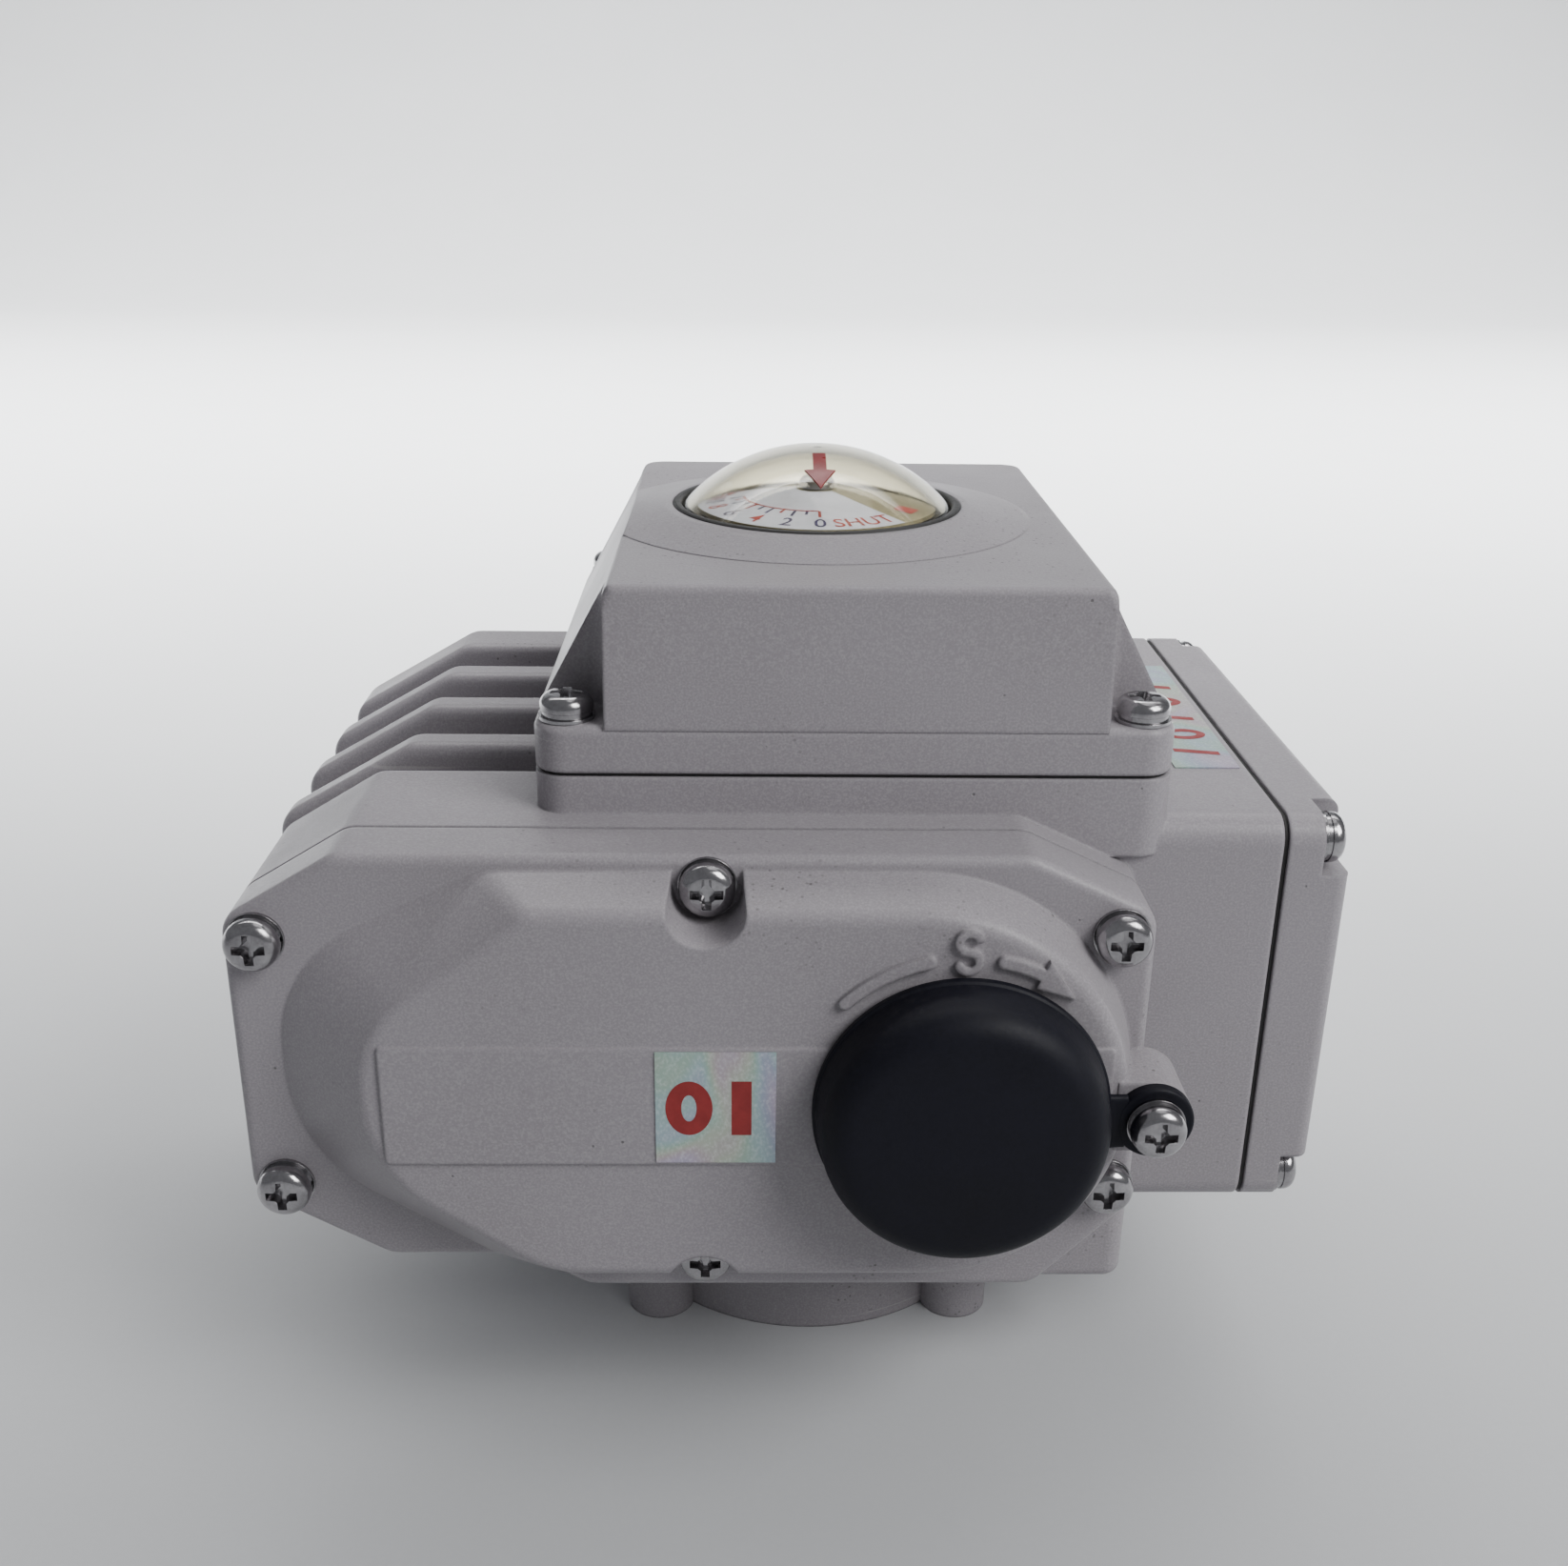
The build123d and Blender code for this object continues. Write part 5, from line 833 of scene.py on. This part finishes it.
# ------------------------------------------------------------------ labels
INK_LIFT = 0.03 * MM
FRONT_MARK_MIDDLE = (7.0 * MM, 8.4 * MM)    # from the front label's left and lower edges
RING_SIDE, BAR_SIDE = 2.6 * MM, 4.3 * MM    # ring to the left of that middle, bar to its right
RING_WIDTH = 6.2 * MM
TOP_MARK_ASIDE = 4.9 * MM                   # from the top label's right edge to the row of marks
TOP_MARK_FIRST, TOP_MARK_PITCH = 43.9 * MM, 8.0 * MM
TOP_MARK_HEIGHT = 6.8 * MM
TOP_BAR_WIDTH, TOP_BAR_SLANT = 1.5 * MM, 1.4 * MM
TOP_RING_WIDTH, TOP_RING_STROKE = 4.8 * MM, 1.4 * MM


def ring_mark(centre, size, stroke):
    """Flat oval ring between two half-size ovals, closed round its middle line."""
    angle = np.linspace(0, 2 * math.pi, 48, endpoint=False)[:, None]
    inset = np.array([0.0, stroke])[None, :]
    half_w, half_h = size[0] / 2 - inset, size[1] / 2 - inset
    points = np.stack([centre[0] + half_w * np.cos(angle), centre[1] + half_h * np.sin(angle)], -1)
    return points.reshape(-1, 2), grid_faces(48, 2, wrap_rows=True)


def bar_mark(centre, size, slant=0.0):
    """Flat upright bar, its top shifted sideways by a slant."""
    x = centre[0] + np.array([-1, 1, 1, -1]) * size[0] / 2 + np.array([-1, -1, 1, 1]) * slant / 2
    y = centre[1] + np.array([-1, -1, 1, 1]) * size[1] / 2
    return np.stack([x, y], -1), np.array([[0, 1, 2, 3]])


class ACTUATOR_OT_labels(bpy.types.Operator):
    """Finish the two film labels and print plain ring and bar marks on them."""

    bl_idname = "actuator.labels"
    bl_label = "Labels"

    def execute(self, context):
        look = context.scene.actuator_labels
        material, tree, shader = blank_finish(
            "Diffraction Film", metallic=0.35, coat=0.5, coat_roughness=0.1,
        )
        hues = placed_group(tree, "film", {"Silver": rgba(look.silver), "Strength": 0.38})["Color"]
        tones = placed_group(tree, "tones", {"Rough Low": 0.28, "Rough High": 0.42, "Grain Scale": 2200.0})
        tree.links.new(hues, shader.inputs["Base Color"])
        tree.links.new(tones["Roughness"], shader.inputs["Roughness"])
        bump_into(tree, shader, tones["Height"], 0.00001)
        dress("label_film", material)
        ink = grain_finish(
            "Label Ink", look.ink, rgba(look.ink, 0.8), (0.35, 0.5), patch=400.0, depth=0.000005,
        )

        # The low corner belongs to the front label and the high corner to the top label
        low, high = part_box("labels")
        front_y = low.y - INK_LIFT
        middle_x, middle_z = low.x + FRONT_MARK_MIDDLE[0], low.z + FRONT_MARK_MIDDLE[1]
        ring = ring_mark((middle_x - RING_SIDE, middle_z), (RING_WIDTH, look.mark), look.stroke)
        bar = bar_mark((middle_x + BAR_SIDE, middle_z), (look.stroke * 1.25, look.mark))
        parts = []
        for flat, faces in (ring, bar):
            points = np.stack([flat[:, 0], np.full(len(flat), front_y), flat[:, 1]], -1)
            parts.append((points, faces))
        print_layer("front_label_marks", parts, ink, "case_body")

        top_z = high.z + INK_LIFT
        row_x = high.x - TOP_MARK_ASIDE
        row_y = high.y - TOP_MARK_FIRST + TOP_MARK_PITCH * np.arange(5)
        top_bar = bar_mark((0, 0), (TOP_BAR_WIDTH, TOP_MARK_HEIGHT), TOP_BAR_SLANT)
        top_ring = ring_mark((0, 0), (TOP_RING_WIDTH, TOP_MARK_HEIGHT), TOP_RING_STROKE)
        parts = []
        for y, (flat, faces) in zip(row_y, (top_bar, top_ring, top_bar, top_ring, top_bar)):
            points = np.stack([row_x - flat[:, 1], y + flat[:, 0], np.full(len(flat), top_z)], -1)
            parts.append((points, faces))
        print_layer("top_label_marks", parts, ink, "case_body")
        return {"FINISHED"}


# ------------------------------------------------------------------ stage
FLOOR_REACH = 1.6               # the floor is flat to this far behind, in metres
SWEEP_R = 0.9                   # radius of the curve up into the backdrop
BACKDROP_TOP = 3.0
FLOOR_HALF_WIDTH = 4.0
FLOOR_GAP = 0.00005             # floor just below the body's foot
OBJECT_MIDDLE = (0.0, 0.0, 0.06)


def sweep_floor():
    """Floor that curves up into a backdrop: flat, then a quarter circle, then upright, all as (y, z)."""
    turn = np.linspace(0.1, math.pi / 2, 16)
    depth = np.concatenate([
        np.linspace(-FLOOR_REACH, FLOOR_REACH, 12), FLOOR_REACH + SWEEP_R * np.sin(turn),
        np.full(6, FLOOR_REACH + SWEEP_R),
    ])
    rise = np.concatenate([
        np.zeros(12), SWEEP_R - SWEEP_R * np.cos(turn), np.linspace(1.0, BACKDROP_TOP, 6),
    ])
    across = np.linspace(-FLOOR_HALF_WIDTH, FLOOR_HALF_WIDTH, 9)[:, None]
    points = np.stack([across + 0 * depth, depth + 0 * across, rise - FLOOR_GAP + 0 * across], -1)
    return points, grid_faces(9, len(depth))


def aim_lamp(name, place, target, size, power, spread=180):
    """Soft rectangular lamp at a place, turned to face a target; the spread is in degrees."""
    lamp = bpy.data.lights.new(name, "AREA")
    lamp.spread = math.radians(spread)
    lamp.shape = "RECTANGLE"
    lamp.size, lamp.size_y = size
    lamp.energy = power
    holder = bpy.data.objects.new(name, lamp)
    holder.location = place
    direction = np.asarray(target, float) - np.asarray(place, float)
    holder.rotation_mode = "QUATERNION"
    holder.rotation_quaternion = Vector(direction).to_track_quat("-Z", "Y")
    bpy.context.scene.collection.objects.link(holder)
    return holder


def make_camera(look):
    """Camera at its place, looking down by the pitch, to its right by the yaw, and rolled about its view."""
    down, aside, roll = look.pitch, look.yaw, look.roll
    level_reach = math.cos(down)
    ahead = np.array([math.sin(aside) * level_reach, math.cos(aside) * level_reach, -math.sin(down)])
    level = np.array([math.cos(aside), -math.sin(aside), 0.0])
    upright = np.cross(level, ahead)
    right = math.cos(roll) * level + math.sin(roll) * upright
    up = -math.sin(roll) * level + math.cos(roll) * upright
    lens = bpy.data.cameras.new("front_camera")
    lens.lens, lens.sensor_width = look.lens, 36.0
    lens.clip_start, lens.clip_end = 0.01, 50.0
    camera = bpy.data.objects.new("front_camera", lens)
    turn = np.eye(4)
    turn[:3, :3] = np.stack([right, up, -ahead], -1)
    turn[:3, 3] = look.place
    camera.matrix_world = Matrix(turn.tolist())
    return camera


class ACTUATOR_OT_stage(bpy.types.Operator):
    """Set the floor, the lamps, the sky and the camera."""

    bl_idname = "actuator.stage"
    bl_label = "Stage"

    def execute(self, context):
        look = context.scene.actuator_stage
        floor_finish = grain_finish(
            "Studio Paper", look.floor, rgba(look.floor, 0.97), (0.75, 0.9), patch=6.0, grain=900.0,
            depth=0.00002,
        )
        floor = make_piece("studio_floor", *sweep_floor(), floor_finish)
        lamps = [
            aim_lamp("key_lamp", (0.7, -0.55, 0.8), OBJECT_MIDDLE, (0.6, 0.6), 11.8 * look.light),
            aim_lamp("top_lamp", (0.25, 0.1, 1.1), OBJECT_MIDDLE, (0.5, 0.5), 0.8 * look.light),
            aim_lamp("back_lamp", (0.0, 0.65, 1.0), (0.0, 1.2, 0.0), (3.2, 0.8), 125.0 * look.light, 132),
        ]

        world = bpy.data.worlds.new("Studio")
        world.use_nodes = True
        sky = world.node_tree.nodes["Background"]
        sky.inputs["Color"].default_value = (0.93, 0.95, 1.0, 1)
        sky.inputs["Strength"].default_value = 0.25 * look.light
        context.scene.world = world

        camera = make_camera(look)
        context.scene.collection.objects.link(camera)
        context.scene.camera = camera
        return {"FINISHED"}


# ------------------------------------------------------------------ panel and registration
STEPS = ("castings", "metals", "mouldings", "cap", "dome", "dial", "labels", "stage")
SETTINGS = {
    "actuator_casting": CastingSettings,
    "actuator_cap": CapSettings,
    "actuator_dome": DomeSettings,
    "actuator_dial": DialSettings,
    "actuator_labels": LabelSettings,
    "actuator_stage": StageSettings,
}


class ACTUATOR_PT_sidebar(bpy.types.Panel):
    """All sizes, colours and steps of the actuator."""

    bl_idname = "ACTUATOR_PT_sidebar"
    bl_label = "Valve Actuator"
    bl_space_type = "VIEW_3D"
    bl_region_type = "UI"
    bl_category = "Actuator"

    def draw(self, context):
        for key, group in SETTINGS.items():
            box = self.layout.box()
            box.label(text=group.__doc__)
            for name in group.__annotations__:
                box.prop(getattr(context.scene, key), name)
        for step in STEPS:
            self.layout.operator(f"actuator.{step}")


CLASSES = (
    *SETTINGS.values(), ACTUATOR_OT_castings, ACTUATOR_OT_metals, ACTUATOR_OT_mouldings, ACTUATOR_OT_cap,
    ACTUATOR_OT_dome, ACTUATOR_OT_dial, ACTUATOR_OT_labels, ACTUATOR_OT_stage, ACTUATOR_PT_sidebar,
)


def register():
    for made in CLASSES:
        bpy.utils.register_class(made)
    for key, group in SETTINGS.items():
        setattr(bpy.types.Scene, key, bpy.props.PointerProperty(type=group))


def unregister():
    for key in SETTINGS:
        delattr(bpy.types.Scene, key)
    for made in reversed(CLASSES):
        bpy.utils.unregister_class(made)


def main():
    """Register and run every step in order."""
    register()
    for step in STEPS:
        getattr(bpy.ops.actuator, step)()


if __name__ == "__main__":
    main()
